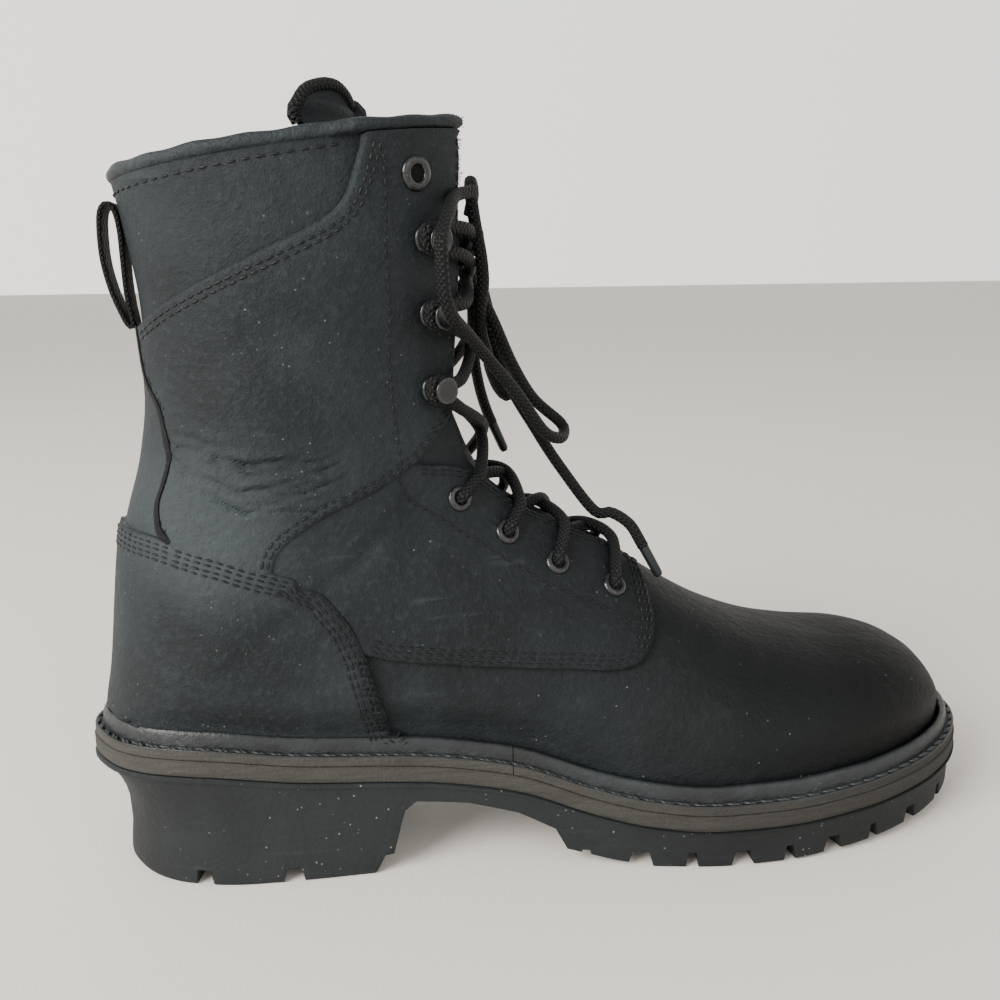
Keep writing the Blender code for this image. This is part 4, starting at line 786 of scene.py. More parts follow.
def material(key):
    """Each finish is made once."""
    look = settings()
    makers = {
        "leather": lambda: nubuck("nubuck", tuple(look.leather_colour), 1.0),
        "vamp": lambda: nubuck("vamp_nubuck", shade(look.leather_colour, 0.92), 0.7),
        "panel": lambda: nubuck("panel_nubuck", shade(look.leather_colour, 1.06), 1.0,
                                rubbed_at=((-0.006, 0.0, 0.121), 0.036)),
        "tongue": lambda: nubuck("tongue_leather", shade(look.leather_colour, 1.10), 0.6, 0.5),
        "binding": lambda: nubuck("binding_leather", shade(look.leather_colour, 1.35), 1.6, 0.8, 1.3, 0.46),
        "raw": raw_edge,
        "edge": cut_edge,
        "lining": lining_cloth,
        "insole": insole_cloth,
        "midsole": midsole_edge,
        "welt": welt_leather,
        "rubber": tread_rubber,
        "lace": lambda: braid("lace_braid", tuple(look.lace_colour), look.braid_pitch, look.braid_turns),
        "trim": lambda: braid("trim_braid", shade(look.lace_colour, 0.9), look.braid_pitch * 0.8, 4),
        "thread": lambda: thread("seam_thread", tuple(look.thread_colour)),
        "welt_thread": lambda: thread("welt_thread", tuple(look.welt_thread_colour)),
        "enamel": enamel,
        "webbing": webbing,
        # Near black for the eyelets' holes: painted shade.
        "dark": lambda: Finish("painted_hole_shade", 0.9).finish(shade(look.raw_colour, 0.3)),
        "tip": plastic_tip,
        "floor": painted_floor,
    }
    if key not in MATERIALS:
        MATERIALS[key] = makers[key]()
    return MATERIALS[key]


def distances(line):
    """Distance walked along a line at each of its points."""
    return np.concatenate([[0.0], np.cumsum(np.linalg.norm(np.diff(line, axis=0), axis=1))])


def at_marks(marks, walk, line):
    """Points of a line at some distances along it."""
    return np.stack([np.interp(marks, walk, line[:, k]) for k in range(3)], axis=1)


# The form as an even net, read in one go for many points.
NET_ROWS = 241
NET_COLUMNS = 121

# Creases of the leather: hoop and share of the side, then depth and half width in millimetres.
CREASES = (
    (((20.10, 0.812), (19.82, 0.743), (19.49, 0.681), (19.25, 0.635), (19.04, 0.598)), 0.8, 1.7),
    (((19.97, 0.806), (19.48, 0.693), (18.86, 0.600), (18.40, 0.509), (17.88, 0.422), (17.65, 0.399)), 1.2, 2.2),
    (((18.93, 0.596), (18.67, 0.555), (18.40, 0.503), (18.13, 0.446), (17.94, 0.393)), 0.6, 1.5),
    (((19.91, 0.798), (19.33, 0.700), (18.74, 0.606), (18.31, 0.509), (17.78, 0.444), (17.49, 0.427)), 0.9, 1.8),
    (((19.70, 0.786), (19.34, 0.741), (19.08, 0.702), (18.88, 0.664), (18.59, 0.599)), 0.9, 1.7),
    (((18.13, 0.508), (17.91, 0.478), (17.63, 0.459), (17.48, 0.447)), 0.6, 1.4),
    (((18.73, 0.651), (18.44, 0.594), (18.23, 0.546), (17.98, 0.514), (17.78, 0.477)), 0.9, 1.8),
    (((19.00, 0.700), (18.74, 0.670), (18.36, 0.627), (18.03, 0.574)), 0.8, 1.7),
    (((7.72, 0.317), (8.13, 0.469), (8.55, 0.600), (8.75, 0.695)), 0.45, 2.0),
    (((8.50, 0.293), (8.79, 0.442), (9.17, 0.585)), 0.50, 1.8),
    (((6.89, 0.271), (7.33, 0.435), (7.89, 0.591)), 0.30, 2.0),
    (((20.90, 0.700), (20.60, 0.560), (20.45, 0.430)), 0.45, 3.2),
    (((15.60, 0.300), (15.30, 0.380), (15.20, 0.440)), 0.45, 2.4),
    (((14.60, 0.280), (14.20, 0.380), (13.95, 0.470)), 0.40, 2.6),
)
# Fine wrinkles of the ankle lie between these two.
WRINKLES_TOP = ((20.15, 0.820), (19.62, 0.700), (18.95, 0.600), (18.50, 0.510), (18.05, 0.420), (17.85, 0.370))
WRINKLES_LOW = ((19.70, 0.786), (18.95, 0.700), (18.10, 0.600), (17.70, 0.510), (17.40, 0.440), (17.15, 0.390))
WRINKLES = 10
PATTERN_HOOP = 0.010
PATTERN_SIDE = 0.150


def all_creases():
    """The creases that are listed, and the fine ones between the ankle's two."""
    strokes = [(stroke, deep * (0.62 if deep > 0.55 else 1.0), wide * (0.30 if deep > 0.55 else 1.0))
               for stroke, deep, wide in CREASES]
    for n in range(WRINKLES):
        t = n / (WRINKLES - 1)
        stroke = []
        for k, ((a0, d0), (a1, d1)) in enumerate(zip(WRINKLES_TOP, WRINKLES_LOW)):
            wave = 0.07 * math.sin(2.1 * k + 1.7 * n)
            stroke.append((a0 + (a1 - a0) * t + wave, d0 + (d1 - d0) * t + 0.006 * math.sin(1.3 * k + n)))
        first, last = (n * 2) % 3 // 2, 6 - (n % 3 == 1)
        strokes.append((tuple(stroke[first:last]), 0.30 + 0.16 * ((n * 3) % 4) / 3.0, 0.34))
    return strokes


def make_net():
    """Points and outward directions of the form at every hoop and share of the net."""
    points, normals = {}, {}
    ats = np.linspace(0.0, COLLAR, NET_ROWS)
    for side in BOTH:
        rows = []
        for at in ats:
            placed, walk = hoop(float(at)).path(side)
            spots = np.linspace(0.0, walk[-1], NET_COLUMNS)
            placed = np.array(placed)
            rows.append(at_marks(spots, walk, placed))
        net = np.array(rows)
        along = np.gradient(net, axis=0)
        across = np.gradient(net, axis=1)
        out = np.cross(along, across) * (1.0 if side == LATERAL else -1.0)
        out /= np.maximum(np.linalg.norm(out, axis=2, keepdims=True), 1e-12)
        out[0] = (1.0, 0.0, 0.0)
        points[side], normals[side] = net, out
    back = int(round(HEEL_CORNER / COLLAR * (NET_ROWS - 1)))
    for column, rows in ((0, slice(1, NET_ROWS)), (NET_COLUMNS - 1, slice(back, NET_ROWS))):
        both = normals[LATERAL][rows, column] + normals[MEDIAL][rows, column]
        both[:, 1] = 0.0
        both /= np.linalg.norm(both, axis=1, keepdims=True)
        for side in BOTH:
            normals[side][rows, column] = both
    return points, normals


NET, NET_OUT = make_net()


def read_net(table, at, down):
    """Values of a table of the net between its rows and columns."""
    u = np.clip(np.asarray(at, float) / COLLAR * (NET_ROWS - 1), 0.0, NET_ROWS - 1.001)
    v = np.clip(np.asarray(down, float) * (NET_COLUMNS - 1), 0.0, NET_COLUMNS - 1.0001)
    i, j = u.astype(int), v.astype(int)
    s, t = (u - i)[:, None], (v - j)[:, None]
    low = table[i, j] * (1.0 - t) + table[i, j + 1] * t
    high = table[i + 1, j] * (1.0 - t) + table[i + 1, j + 1] * t
    return low * (1.0 - s) + high * s


def creased(at, down, side):
    """Height of the leather's creases and its gentle unevenness, in metres."""
    depth = settings().crease_depth
    at, down = np.asarray(at, float), np.asarray(down, float)
    if side == MEDIAL:
        at, down = at + 0.22 * np.sin(down * 9.0), down * 1.03
    spot = np.stack([at * PATTERN_HOOP, down * PATTERN_SIDE], axis=1) * 1000.0
    total = 0.10 * np.sin(at * 2.9 + down * 11.0) * np.sin(down * 19.0 - at * 1.3)
    for stroke, deep, wide in all_creases():
        line = np.array([(a * PATTERN_HOOP, d * PATTERN_SIDE) for a, d in stroke]) * 1000.0
        near = np.full(len(spot), 1e9)
        share = np.zeros(len(spot))
        for k in range(len(line) - 1):
            run = line[k + 1] - line[k]
            t = np.clip((spot - line[k]) @ run / (run @ run), 0.0, 1.0)
            gap = np.linalg.norm(spot - (line[k] + t[:, None] * run), axis=1)
            closer = gap < near
            near[closer] = gap[closer]
            share[closer] = (k + t[closer]) / (len(line) - 1)
        fade = np.clip(share / 0.25, 0.0, 1.0) * np.clip((1.0 - share) / 0.25, 0.0, 1.0)
        fade = 0.25 + 0.75 * fade
        trough = np.exp(-(near / wide) ** 2)
        ridge = np.exp(-((near - 2.1 * wide) / wide) ** 2)
        total += deep * fade * (0.40 * ridge - trough)
    return total * 0.001 * depth


def lay(at, down, side, high=0.0):
    """Points that stand a height over the creased form."""
    at, down = np.atleast_1d(at).astype(float), np.atleast_1d(down).astype(float)
    lift = np.broadcast_to(high, at.shape) + creased(at, down, side)
    return read_net(NET[side], at, down) + read_net(NET_OUT[side], at, down) * lift[:, None]


def step_in(at, down, side, reach, turn):
    """Moves a run of points sideways over the form by a real distance."""
    at, down = np.asarray(at, float), np.asarray(down, float)
    small_at, small_down = 0.05, 0.004
    net = NET[side]
    by_at = (read_net(net, at + small_at, down) - read_net(net, at - small_at, down)) / (2.0 * small_at)
    by_down = (read_net(net, at, down + small_down) - read_net(net, at, down - small_down)) / (2.0 * small_down)
    along = by_at * np.gradient(at)[:, None] + by_down * np.gradient(down)[:, None]
    along /= np.maximum(np.linalg.norm(along, axis=1, keepdims=True), 1e-12)
    out = read_net(NET_OUT[side], at, down)
    inward = np.cross(out, along) * turn * (1.0 if side == LATERAL else -1.0) * reach
    aa, ad, dd = (by_at * by_at).sum(1), (by_at * by_down).sum(1), (by_down * by_down).sum(1)
    ra, rd = (by_at * inward).sum(1), (by_down * inward).sum(1)
    whole = np.maximum(aa * dd - ad * ad, 1e-12)
    return at + (ra * dd - rd * ad) / whole, down + (rd * aa - ra * ad) / whole


# Making pieces


def loose_mesh(name, points, faces, marks=None):
    mesh = bpy.data.meshes.new(name)
    mesh.from_pydata([tuple(p) for p in points], [], faces)
    if marks is not None:
        mesh.polygons.foreach_set("material_index", marks)
    mesh.update()
    return mesh


def out_facing(mesh, merge=0.0):
    work = bmesh.new()
    work.from_mesh(mesh)
    if merge:
        bmesh.ops.remove_doubles(work, verts=work.verts, dist=merge)
    bmesh.ops.recalc_face_normals(work, faces=work.faces)
    work.to_mesh(mesh)
    work.free()
    return mesh


def held(name, mesh):
    """A helper object that stays out of the picture."""
    item = bpy.data.objects.new(name, mesh)
    bpy.context.scene.collection.objects.link(item)
    return item


def drop(*items):
    for item in items:
        bpy.data.objects.remove(item, do_unlink=True)


def settled(item):
    """The object's mesh with its modifiers worked in. The object is removed."""
    bpy.context.view_layer.update()
    seen = item.evaluated_get(bpy.context.evaluated_depsgraph_get())
    mesh = bpy.data.meshes.new_from_object(seen)
    drop(item)
    return mesh


def piece(name, mesh, materials, nodes=(), sharp=38.0):
    """Finished piece of the boot, which stands in for the named solids."""
    for n, key in enumerate(materials):
        if n < len(mesh.materials):
            mesh.materials[n] = material(key)
        else:
            mesh.materials.append(material(key))
    mesh.shade_smooth()
    mesh.set_sharp_from_angle(angle=math.radians(sharp))
    item = bpy.data.objects.new(name, mesh)
    bpy.context.scene.collection.objects.link(item)
    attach(item, "root")
    if nodes:
        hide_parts(*nodes)
    return item


def ring_faces(rings, size, closed=False):
    """Quads between closed rings of points."""
    faces = []
    for r in range(rings if closed else rings - 1):
        s = (r + 1) % rings
        for i in range(size):
            j = (i + 1) % size
            faces.append((r * size + i, r * size + j, s * size + j, s * size + i))
    return faces


def ladder(size, start, flip):
    """Cap over a plan ring: a strip from the heel to the toe, rung by rung."""
    faces = []
    for i in range(size // 2):
        a, b = i, i + 1
        face = [a, b, (size - b) % size, (size - a) % size]
        face = [start + k for n, k in enumerate(face) if k not in face[:n]]
        faces.append(tuple(reversed(face)) if flip else tuple(face))
    return faces


def plan_loft(name, rings):
    """Closed solid through plan rings, listed from the lowest to the highest."""
    size = len(rings[0])
    points = [p for ring in rings for p in ring]
    faces = ring_faces(len(rings), size) + ladder(size, 0, True) + ladder(size, (len(rings) - 1) * size, False)
    return loose_mesh(name, points, faces)


def tube(points, radius, sides=12, closed=False, base=0):
    """Rings round a line of points, with faces and each corner's distance and turn."""
    points = np.array([tuple(p) for p in points])
    count = len(points)
    radius = np.broadcast_to(radius, (count,))
    ahead = np.roll(points, -1, axis=0) - np.roll(points, 1, axis=0)
    if not closed:
        ahead[0], ahead[-1] = points[1] - points[0], points[-1] - points[-2]
    ahead /= np.linalg.norm(ahead, axis=1, keepdims=True)
    across = np.cross(ahead[0], (0.31, 0.22, 0.93))
    frames = []
    for n in range(count):
        across = across - ahead[n] * (across @ ahead[n])
        across /= np.linalg.norm(across)
        frames.append(across.copy())
    walk = distances(points)
    angle = np.arange(sides) * 2.0 * math.pi / sides
    verts, faces, corners = [], [], []
    for n in range(count):
        up = np.cross(ahead[n], frames[n])
        verts += list(points[n] + radius[n] * (np.cos(angle)[:, None] * frames[n] + np.sin(angle)[:, None] * up))
    for n in range(count if closed else count - 1):
        m = (n + 1) % count
        far = walk[n + 1] if n + 1 < count else walk[n] + np.linalg.norm(points[0] - points[n])
        for i in range(sides):
            j = (i + 1) % sides
            faces.append((base + n * sides + i, base + n * sides + j, base + m * sides + j, base + m * sides + i))
            corners += [(walk[n], i / sides), (walk[n], (i + 1) / sides), (far, (i + 1) / sides), (far, i / sides)]
    if not closed:
        faces.append(tuple(base + i for i in reversed(range(sides))))
        faces.append(tuple(base + (count - 1) * sides + i for i in range(sides)))
        corners += [(0.0, i / sides) for i in reversed(range(sides))] + [(walk[-1], i / sides) for i in range(sides)]
    return verts, faces, corners


def tubes_mesh(name, runs):
    """One mesh of several tubes, each given as points, radius and whether it is closed."""
    verts, faces, corners = [], [], []
    for points, radius, closed in runs:
        more, quads, uvs = tube(points, radius, closed=closed, base=len(verts))
        verts += more
        faces += quads
        corners += uvs
    mesh = loose_mesh(name, verts, faces)
    layer = mesh.uv_layers.new(name="cord")
    layer.data.foreach_set("uv", [x for pair in corners for x in pair])
    return mesh


def catmull(p0, p1, p2, p3, t):
    linear = (p2 - p0) * t
    square = (p0 * 2.0 - p1 * 5.0 + p2 * 4.0 - p3) * t * t
    cube = (p1 * 3.0 - p0 - p2 * 3.0 + p3) * t * t * t
    return (p1 * 2.0 + linear + square + cube) / 2.0


def smooth_route(route, step, closed=False):
    """Even points along a smooth curve through a route."""
    points = [Vector(p) for p in route]
    if closed:
        points = points + points[:1]
    fine = []
    for i in range(len(points) - 1):
        if closed:
            before, after = points[(i - 1) % (len(points) - 1)], points[(i + 2) % (len(points) - 1)]
        else:
            before = points[i - 1] if i > 0 else points[i] * 2.0 - points[i + 1]
            after = points[i + 2] if i + 2 < len(points) else points[i + 1] * 2.0 - points[i]
        for k in range(12):
            fine.append(catmull(before, points[i], points[i + 1], after, k / 12))
    fine.append(points[-1])
    fine = np.array([tuple(p) for p in fine])
    walk = distances(fine)
    count = max(2, round(walk[-1] / step))
    spots = np.linspace(0.0, walk[-1], count + 1)
    result = at_marks(spots, walk, fine)
    return result[:-1] if closed else result


# Stitches and fibres


def thread_tree():
    """Node tree that puts one small rounded strand on every point, along its own direction."""
    if "boot_thread" in bpy.data.node_groups:
        return bpy.data.node_groups["boot_thread"]
    tree = bpy.data.node_groups.new("boot_thread", "GeometryNodeTree")
    tree.interface.new_socket("Points", in_out="INPUT", socket_type="NodeSocketGeometry")
    for name in ("Length", "Radius", "Unevenness"):
        tree.interface.new_socket(name, in_out="INPUT", socket_type="NodeSocketFloat")
    tree.interface.new_socket("Material", in_out="INPUT", socket_type="NodeSocketMaterial")
    tree.interface.new_socket("Threads", in_out="OUTPUT", socket_type="NodeSocketGeometry")
    add = partial(add_node, tree)
    given = tree.nodes.new("NodeGroupInput")
    strand = add("GeometryNodeMeshUVSphere", {}, {"Segments": 6, "Rings": 5, "Radius": 1.0})
    half = add("ShaderNodeMath", {"operation": "MULTIPLY"}, {0: given.outputs["Length"], 1: 0.5})
    size = add("ShaderNodeCombineXYZ", {}, {
        "X": given.outputs["Radius"], "Y": given.outputs["Radius"], "Z": half.outputs[0]})
    shaped = add("GeometryNodeTransform", {}, {"Geometry": strand.outputs["Mesh"], "Scale": size.outputs[0]})
    along = add("GeometryNodeInputNamedAttribute", {"data_type": "FLOAT_VECTOR"}, {"Name": "along"})
    turned = add("FunctionNodeAlignRotationToVector", {"axis": "Z"}, {"Vector": along.outputs["Attribute"]})
    least = add("ShaderNodeMath", {"operation": "SUBTRACT"}, {0: 1.0, 1: given.outputs["Unevenness"]})
    most = add("ShaderNodeMath", {"operation": "ADD"}, {0: 1.0, 1: given.outputs["Unevenness"]})
    random = add("FunctionNodeRandomValue", {"data_type": "FLOAT"}, {
        2: least.outputs[0], 3: most.outputs[0], "Seed": 7})
    set_out = add("GeometryNodeInstanceOnPoints", {}, {
        "Points": given.outputs["Points"], "Instance": shaped.outputs[0],
        "Rotation": turned.outputs[0], "Scale": random.outputs[1]})
    real = add("GeometryNodeRealizeInstances", {}, {"Geometry": set_out.outputs[0]})
    painted = add("GeometryNodeSetMaterial", {}, {
        "Geometry": real.outputs[0], "Material": given.outputs["Material"]})
    add("NodeGroupOutput", {}, {"Threads": painted.outputs[0]})
    return tree


def threads(name, spots, along, length, radius, key, uneven=0.12):
    """Piece of many short strands, made by the node tree from points and directions."""
    mesh = bpy.data.meshes.new(name)
    mesh.from_pydata([tuple(p) for p in spots], [], [])
    given = mesh.attributes.new("along", "FLOAT_VECTOR", "POINT")
    given.data.foreach_set("vector", np.asarray(along, float).ravel())
    item = held(name + "_points", mesh)
    tree = thread_tree()
    step = item.modifiers.new("Threads", "NODES")
    step.node_group = tree
    values = {"Length": length, "Radius": radius, "Unevenness": uneven, "Material": material(key)}
    for socket in tree.interface.items_tree:
        if socket.item_type == "SOCKET" and socket.in_out == "INPUT" and socket.name in values:
            step[socket.identifier] = values[socket.name]
    return piece(name, settled(item), (key,), sharp=80.0)


def spaced(line, pitch):
    """Even points along a line and their directions."""
    line = np.asarray(line)
    walk = distances(line)
    count = max(1, int(walk[-1] / pitch))
    marks = (np.arange(count) + 0.5) * walk[-1] / count
    ahead = at_marks(marks + pitch * 0.3, walk, line)
    return at_marks(marks, walk, line), ahead - at_marks(marks - pitch * 0.3, walk, line)


class SeamBook:
    """Collects the stitches of all the seams in one thread."""

    def __init__(self):
        self.spots, self.along = [], []

    def row(self, line, pitch):
        spots, along = spaced(line, pitch)
        self.spots.append(spots)
        self.along.append(along)

    def sew(self, name, length, radius, key):
        threads(name, np.concatenate(self.spots), np.concatenate(self.along), length, radius, key)


SEAMS = SeamBook()


# Sole


def cut(item, tool, operation="DIFFERENCE"):
    step = item.modifiers.new(operation.title(), "BOOLEAN")
    step.operation = operation
    step.solver = "EXACT"
    step.object = tool


def side_prism(name, outline_xz, half):
    """Prism through the boot from side to side, over an outline in the X-Z plane."""
    count = len(outline_xz)
    points = [(x, -half, z) for x, z in outline_xz] + [(x, half, z) for x, z in outline_xz]
    faces = [tuple(range(count)), tuple(reversed(range(count, 2 * count)))]
    for i in range(count):
        j = (i + 1) % count
        faces.append((i, i + count, j + count, j))
    return out_facing(loose_mesh(name, points, faces))


# Gaps between the edge lugs: share of the length, then width at the root and at the mouth as shares
# of the lug depth.
FORE_NOTCHES = (
    (0.508, 0.45, 0.85), (0.563, 1.00, 1.65), (0.616, 0.45, 0.85), (0.670, 0.95, 1.50), (0.722, 0.45, 0.85),
    (0.774, 0.90, 1.40), (0.827, 0.45, 0.85), (0.883, 0.75, 1.20), (0.938, 0.45, 0.85))
HEEL_NOTCHES = (
    (0.113, 0.85, 1.10), (0.206, 0.85, 1.30))

# Hollow under the arch, in side view: share of the length and share of the heel height.
ARCH = (
    (0.286, -0.10), (0.289, 0.00), (0.300, 0.165), (0.309, 0.172), (0.322, 0.56), (0.334, 0.635), (0.388, 0.590),
    (0.440, 0.480), (0.478, 0.330), (0.490, 0.145), (0.535, 0.060), (0.585, 0.002), (0.600, -0.10))

# Middle lugs: share of the length and half width as a share of the ball width.
MIDDLE_LUGS = (
    (0.590, 0.17), (0.650, 0.22), (0.710, 0.23), (0.770, 0.22), (0.830, 0.18), (0.885, 0.12))


def notch(along, side, root, mouth, low):
    """Wedge that cuts one gap between two edge lugs, square to the outline there."""
    angle = math.acos(1.0 - 2.0 * along)
    half = OUTER_HALF if side == LATERAL else INNER_HALF
    step = 0.02
    dx = LENGTH * (math.cos(angle - step) - math.cos(angle + step)) / 2.0
    dy = side * (half(angle + step) - half(angle - step))
    size = math.hypot(dx, dy)
    tangent = Vector((dx / size, dy / size, 0.0))
    inward = Vector((tangent.y * side, -tangent.x * side, 0.0))
    edge = Vector((at_length(along), side * half(angle), low))
    reach = (-0.004, LUG_REACH + 0.001 * (1 if side == LATERAL else 2))
    section = ((-mouth * 1.15, -0.003), (mouth * 1.15, -0.003), (root, LUG_DEPTH), (-root, LUG_DEPTH))
    points = []
    for deep in reach:
        for wide, high in section:
            points.append(edge + inward * deep + tangent * (wide / 2.0) + Vector((0.0, 0.0, high)))
    faces = [(0, 1, 2, 3), (7, 6, 5, 4), (0, 4, 5, 1), (1, 5, 6, 2), (2, 6, 7, 3), (3, 7, 4, 0)]
    return points, faces


def edge_notches():
    points, faces = [], []
    rows = [(row, 0.0) for row in HEEL_NOTCHES] + [(row, spring(row[0])) for row in FORE_NOTCHES]
    for (along, root, mouth), low in rows:
        for side in BOTH:
            if along > 0.93 and side == MEDIAL:
                along -= 0.004
            more, quads = notch(along, side, root * LUG_DEPTH, mouth * LUG_DEPTH, low)
            faces += [tuple(k + len(points) for k in quad) for quad in quads]
            points += more
    return out_facing(loose_mesh("notches", points, faces))


def tread_pocket():
    """Sunk field between the edge lugs of the forefoot."""
    plan = [p for p in outline(LUG_REACH, stations(30)) if at_length(0.545) < p[0]]
    plan.sort(key=lambda p: (p[1] > 0.003, p[0] if p[1] <= 0.003 else -p[0]))
    count = len(plan)
    points = [(x, y, spring(share_at(x)) - 0.004) for x, y in plan]
    points += [(x, y, spring(share_at(x)) + LUG_DEPTH * 0.96) for x, y in plan]
    faces = ring_faces(2, count)
    low, high = list(range(count)), list(range(count, 2 * count))
    while len(low) > 2:
        quad = [low[0], low[1], low[-2], low[-1]] if len(low) > 3 else low
        top = [high[0], high[1], high[-2], high[-1]] if len(high) > 3 else high
        faces.append(tuple(reversed(quad)))
        faces.append(tuple(top))
        low, high = low[1:-1], high[1:-1]
    return out_facing(loose_mesh("pocket", points, faces))


def middle_lugs():
    points, faces = [], []
    for along, half in MIDDLE_LUGS:
        x, low, wide = at_length(along), spring(along), half * BALL_WIDTH
        deep = 0.014 * LENGTH
        base = len(points)
        shift = 0.012 * BALL_WIDTH
        for z, grow in ((low + 0.0002, 0.0), (low + LUG_DEPTH * 1.25, 0.0012)):
            for sx, sy in ((-1, -1), (1, -1), (1, 1), (-1, 1)):
                points.append((x + sx * (deep + grow), shift + sy * (wide + grow), z))
        quads = [(3, 2, 1, 0), (4, 5, 6, 7), (0, 1, 5, 4), (1, 2, 6, 5), (2, 3, 7, 6), (3, 0, 4, 7)]
        faces += [tuple(k + base for k in quad) for quad in quads]
    return out_facing(loose_mesh("middle_lugs", points, faces))


WELT_JOINT = 0.434
# Welt in section: share of the ledge from its outer edge, height as a share of the welt, and
# height as a share of the ridge.
WELT_SECTION = (
    (0.00, 0.00, 0.00), (0.00, 0.88, 0.00), (0.03, 1.00, 0.00), (0.13, 1.00, 0.00), (0.17, 0.84, 0.00),
    (0.32, 0.84, 0.00), (0.36, 1.00, 0.00), (0.42, 1.00, 0.00), (0.45, 1.00, 0.20), (0.48, 1.00, 0.50),
    (0.53, 1.00, 0.78), (0.60, 1.00, 0.95), (0.70, 1.00, 1.03), (0.82, 1.00, 1.02), (0.92, 1.00, 0.90),
    (1.00, 1.00, 0.62), (1.00, 0.00, 0.00))
MIDSOLE_ROWS = (
    (0.0009, GAP), (0.0005, GAP + 0.0004), (0.0003, 0.0022), (0.0004, 0.0038), (0.0003, MIDSOLE - 0.0004),
    (0.0007, MIDSOLE))
# Tongue: hoop that it follows, how far behind that hoop and above it as shares of the collar width,
# and share of the hoop's side that it covers.
TONGUE_ROWS = (
    (9.4, 0.000, 0.000, 0.115), (10.4, 0.000, 0.000, 0.150), (12.0, 0.000, 0.000, 0.180),
    (13.6, 0.003, 0.000, 0.192), (15.2, 0.020, 0.000, 0.200), (16.8, 0.050, 0.000, 0.200),
    (18.6, 0.105, 0.000, 0.205), (20.4, 0.178, 0.000, 0.205), (22.0, 0.252, 0.000, 0.202),
    (23.4, 0.315, 0.000, 0.192), (24.0, 0.350, 0.045, 0.262), (24.0, 0.350, 0.085, 0.255),
    (24.0, 0.350, 0.115, 0.235), (24.0, 0.350, 0.138, 0.205), (24.0, 0.350, 0.150, 0.165))
# First of the tongue's net rows that its braided edge follows.
TRIM_START = 50

# Stands for the share of the side that ends just over the welt.
WELTED = 2.0
COUNTER_FRONT = (
    (12.38, WELTED), (12.43, 0.917), (12.78, 0.809), (13.11, 0.724), (13.58, 0.626))
COUNTER_MIDDLE = (
    (13.58, 0.626), (13.88, 0.583), (14.37, 0.531), (15.09, 0.488), (15.75, 0.472), (16.28, 0.478),
    (16.88, 0.530))
COUNTER_TOP = ((16.88, 0.530), (17.20, 0.570), (17.69, 0.636), (18.10, 0.703), (18.44, 0.763))
COUNTER_BACK = ((18.44, 0.763), (18.64, 0.805), (18.83, 0.855), (19.04, 0.941), (19.08, 1.0))
SEAM_FOOT = 16.52
COUNTER_WELT = ((SEAM_FOOT, 1.0), (16.0, WELTED), (15.0, WELTED), (14.0, WELTED), (13.2, WELTED), (12.38, WELTED))
SHAFT_LOWER = (
    (16.88, 0.530), (17.06, 0.524), (17.14, 0.500), (17.03, 0.423), (16.78, 0.347), (16.56, 0.277),
    (16.42, 0.212))
SHAFT_TOE = ((16.42, 0.212), (16.60, 0.150), (16.74, 0.118))
SHAFT_FACING = ((16.74, 0.118), (17.40, 0.112), (19.07, 0.109), (21.46, 0.126), (23.90, 0.135))
SHAFT_TOP = ((23.90, 0.135), (23.90, 0.240), (23.90, 0.363))
COLLAR_SEAM = (
    (23.90, 0.363), (23.47, 0.371), (22.75, 0.392), (22.37, 0.415), (22.20, 0.447), (22.13, 0.493),
    (22.08, 0.554), (22.02, 0.650), (21.92, 0.789), (21.76, 0.905))
BACKSTAY_EDGE = (
    (21.76, 0.905), (21.15, 0.888), (20.47, 0.831), (19.95, 0.803), (19.60, 0.784), (19.33, 0.788),
    (19.05, 0.799), (18.75, 0.793), (18.44, 0.763))
BACKSTAY_TOP = ((21.80, 1.0), (21.76, 0.905))
QUARTER_LOWER = (
    (13.58, 0.626), (13.20, 0.634), (12.36, 0.632), (11.33, 0.620), (10.50, 0.590), (10.00, 0.555),
    (9.70, 0.515), (9.53, 0.440), (9.49, 0.350), (9.58, 0.262), (9.68, 0.180), (9.78, 0.085))
QUARTER_FACING = (
    (9.78, 0.085), (10.20, 0.074), (10.70, 0.083), (11.50, 0.095), (12.65, 0.096), (13.60, 0.096),
    (14.30, 0.100), (14.90, 0.116))
QUARTER_FLAP = ((14.90, 0.116), (15.55, 0.150), (16.10, 0.186), (16.42, 0.212))

# Height that a panel keeps over the welt's ridge.
WELT_CLEAR = 0.0014

# Pull loop in side view: how far behind the back of the collar's seam and how high over it, as
# shares of the loop's own height.
LOOP_HEIGHT = 0.037
PULL_LOOP = (
    (0.060, 0.000), (0.080, 0.150), (0.095, 0.330), (0.100, 0.560), (0.105, 0.780), (0.130, 0.930), (0.185, 1.000),
    (0.245, 0.940), (0.265, 0.780), (0.260, 0.540), (0.215, 0.300), (0.150, 0.110), (0.100, 0.000))

# Hoop, share of the side and panel thickness below each.
EYELETS = (
    (10.42, 0.273, PANEL, EYELET), (11.63, 0.258, PANEL, EYELET), (12.90, 0.205, PANEL, EYELET),
    (14.52, 0.182, PANEL, EYELET), (22.48, 0.262, SHAFT_PANEL, TOP_EYELET))
HOOKS = (
    (17.70, 0.178), (19.29, 0.200), (20.97, 0.235))
HARDWARE_SEAT = 0.0006


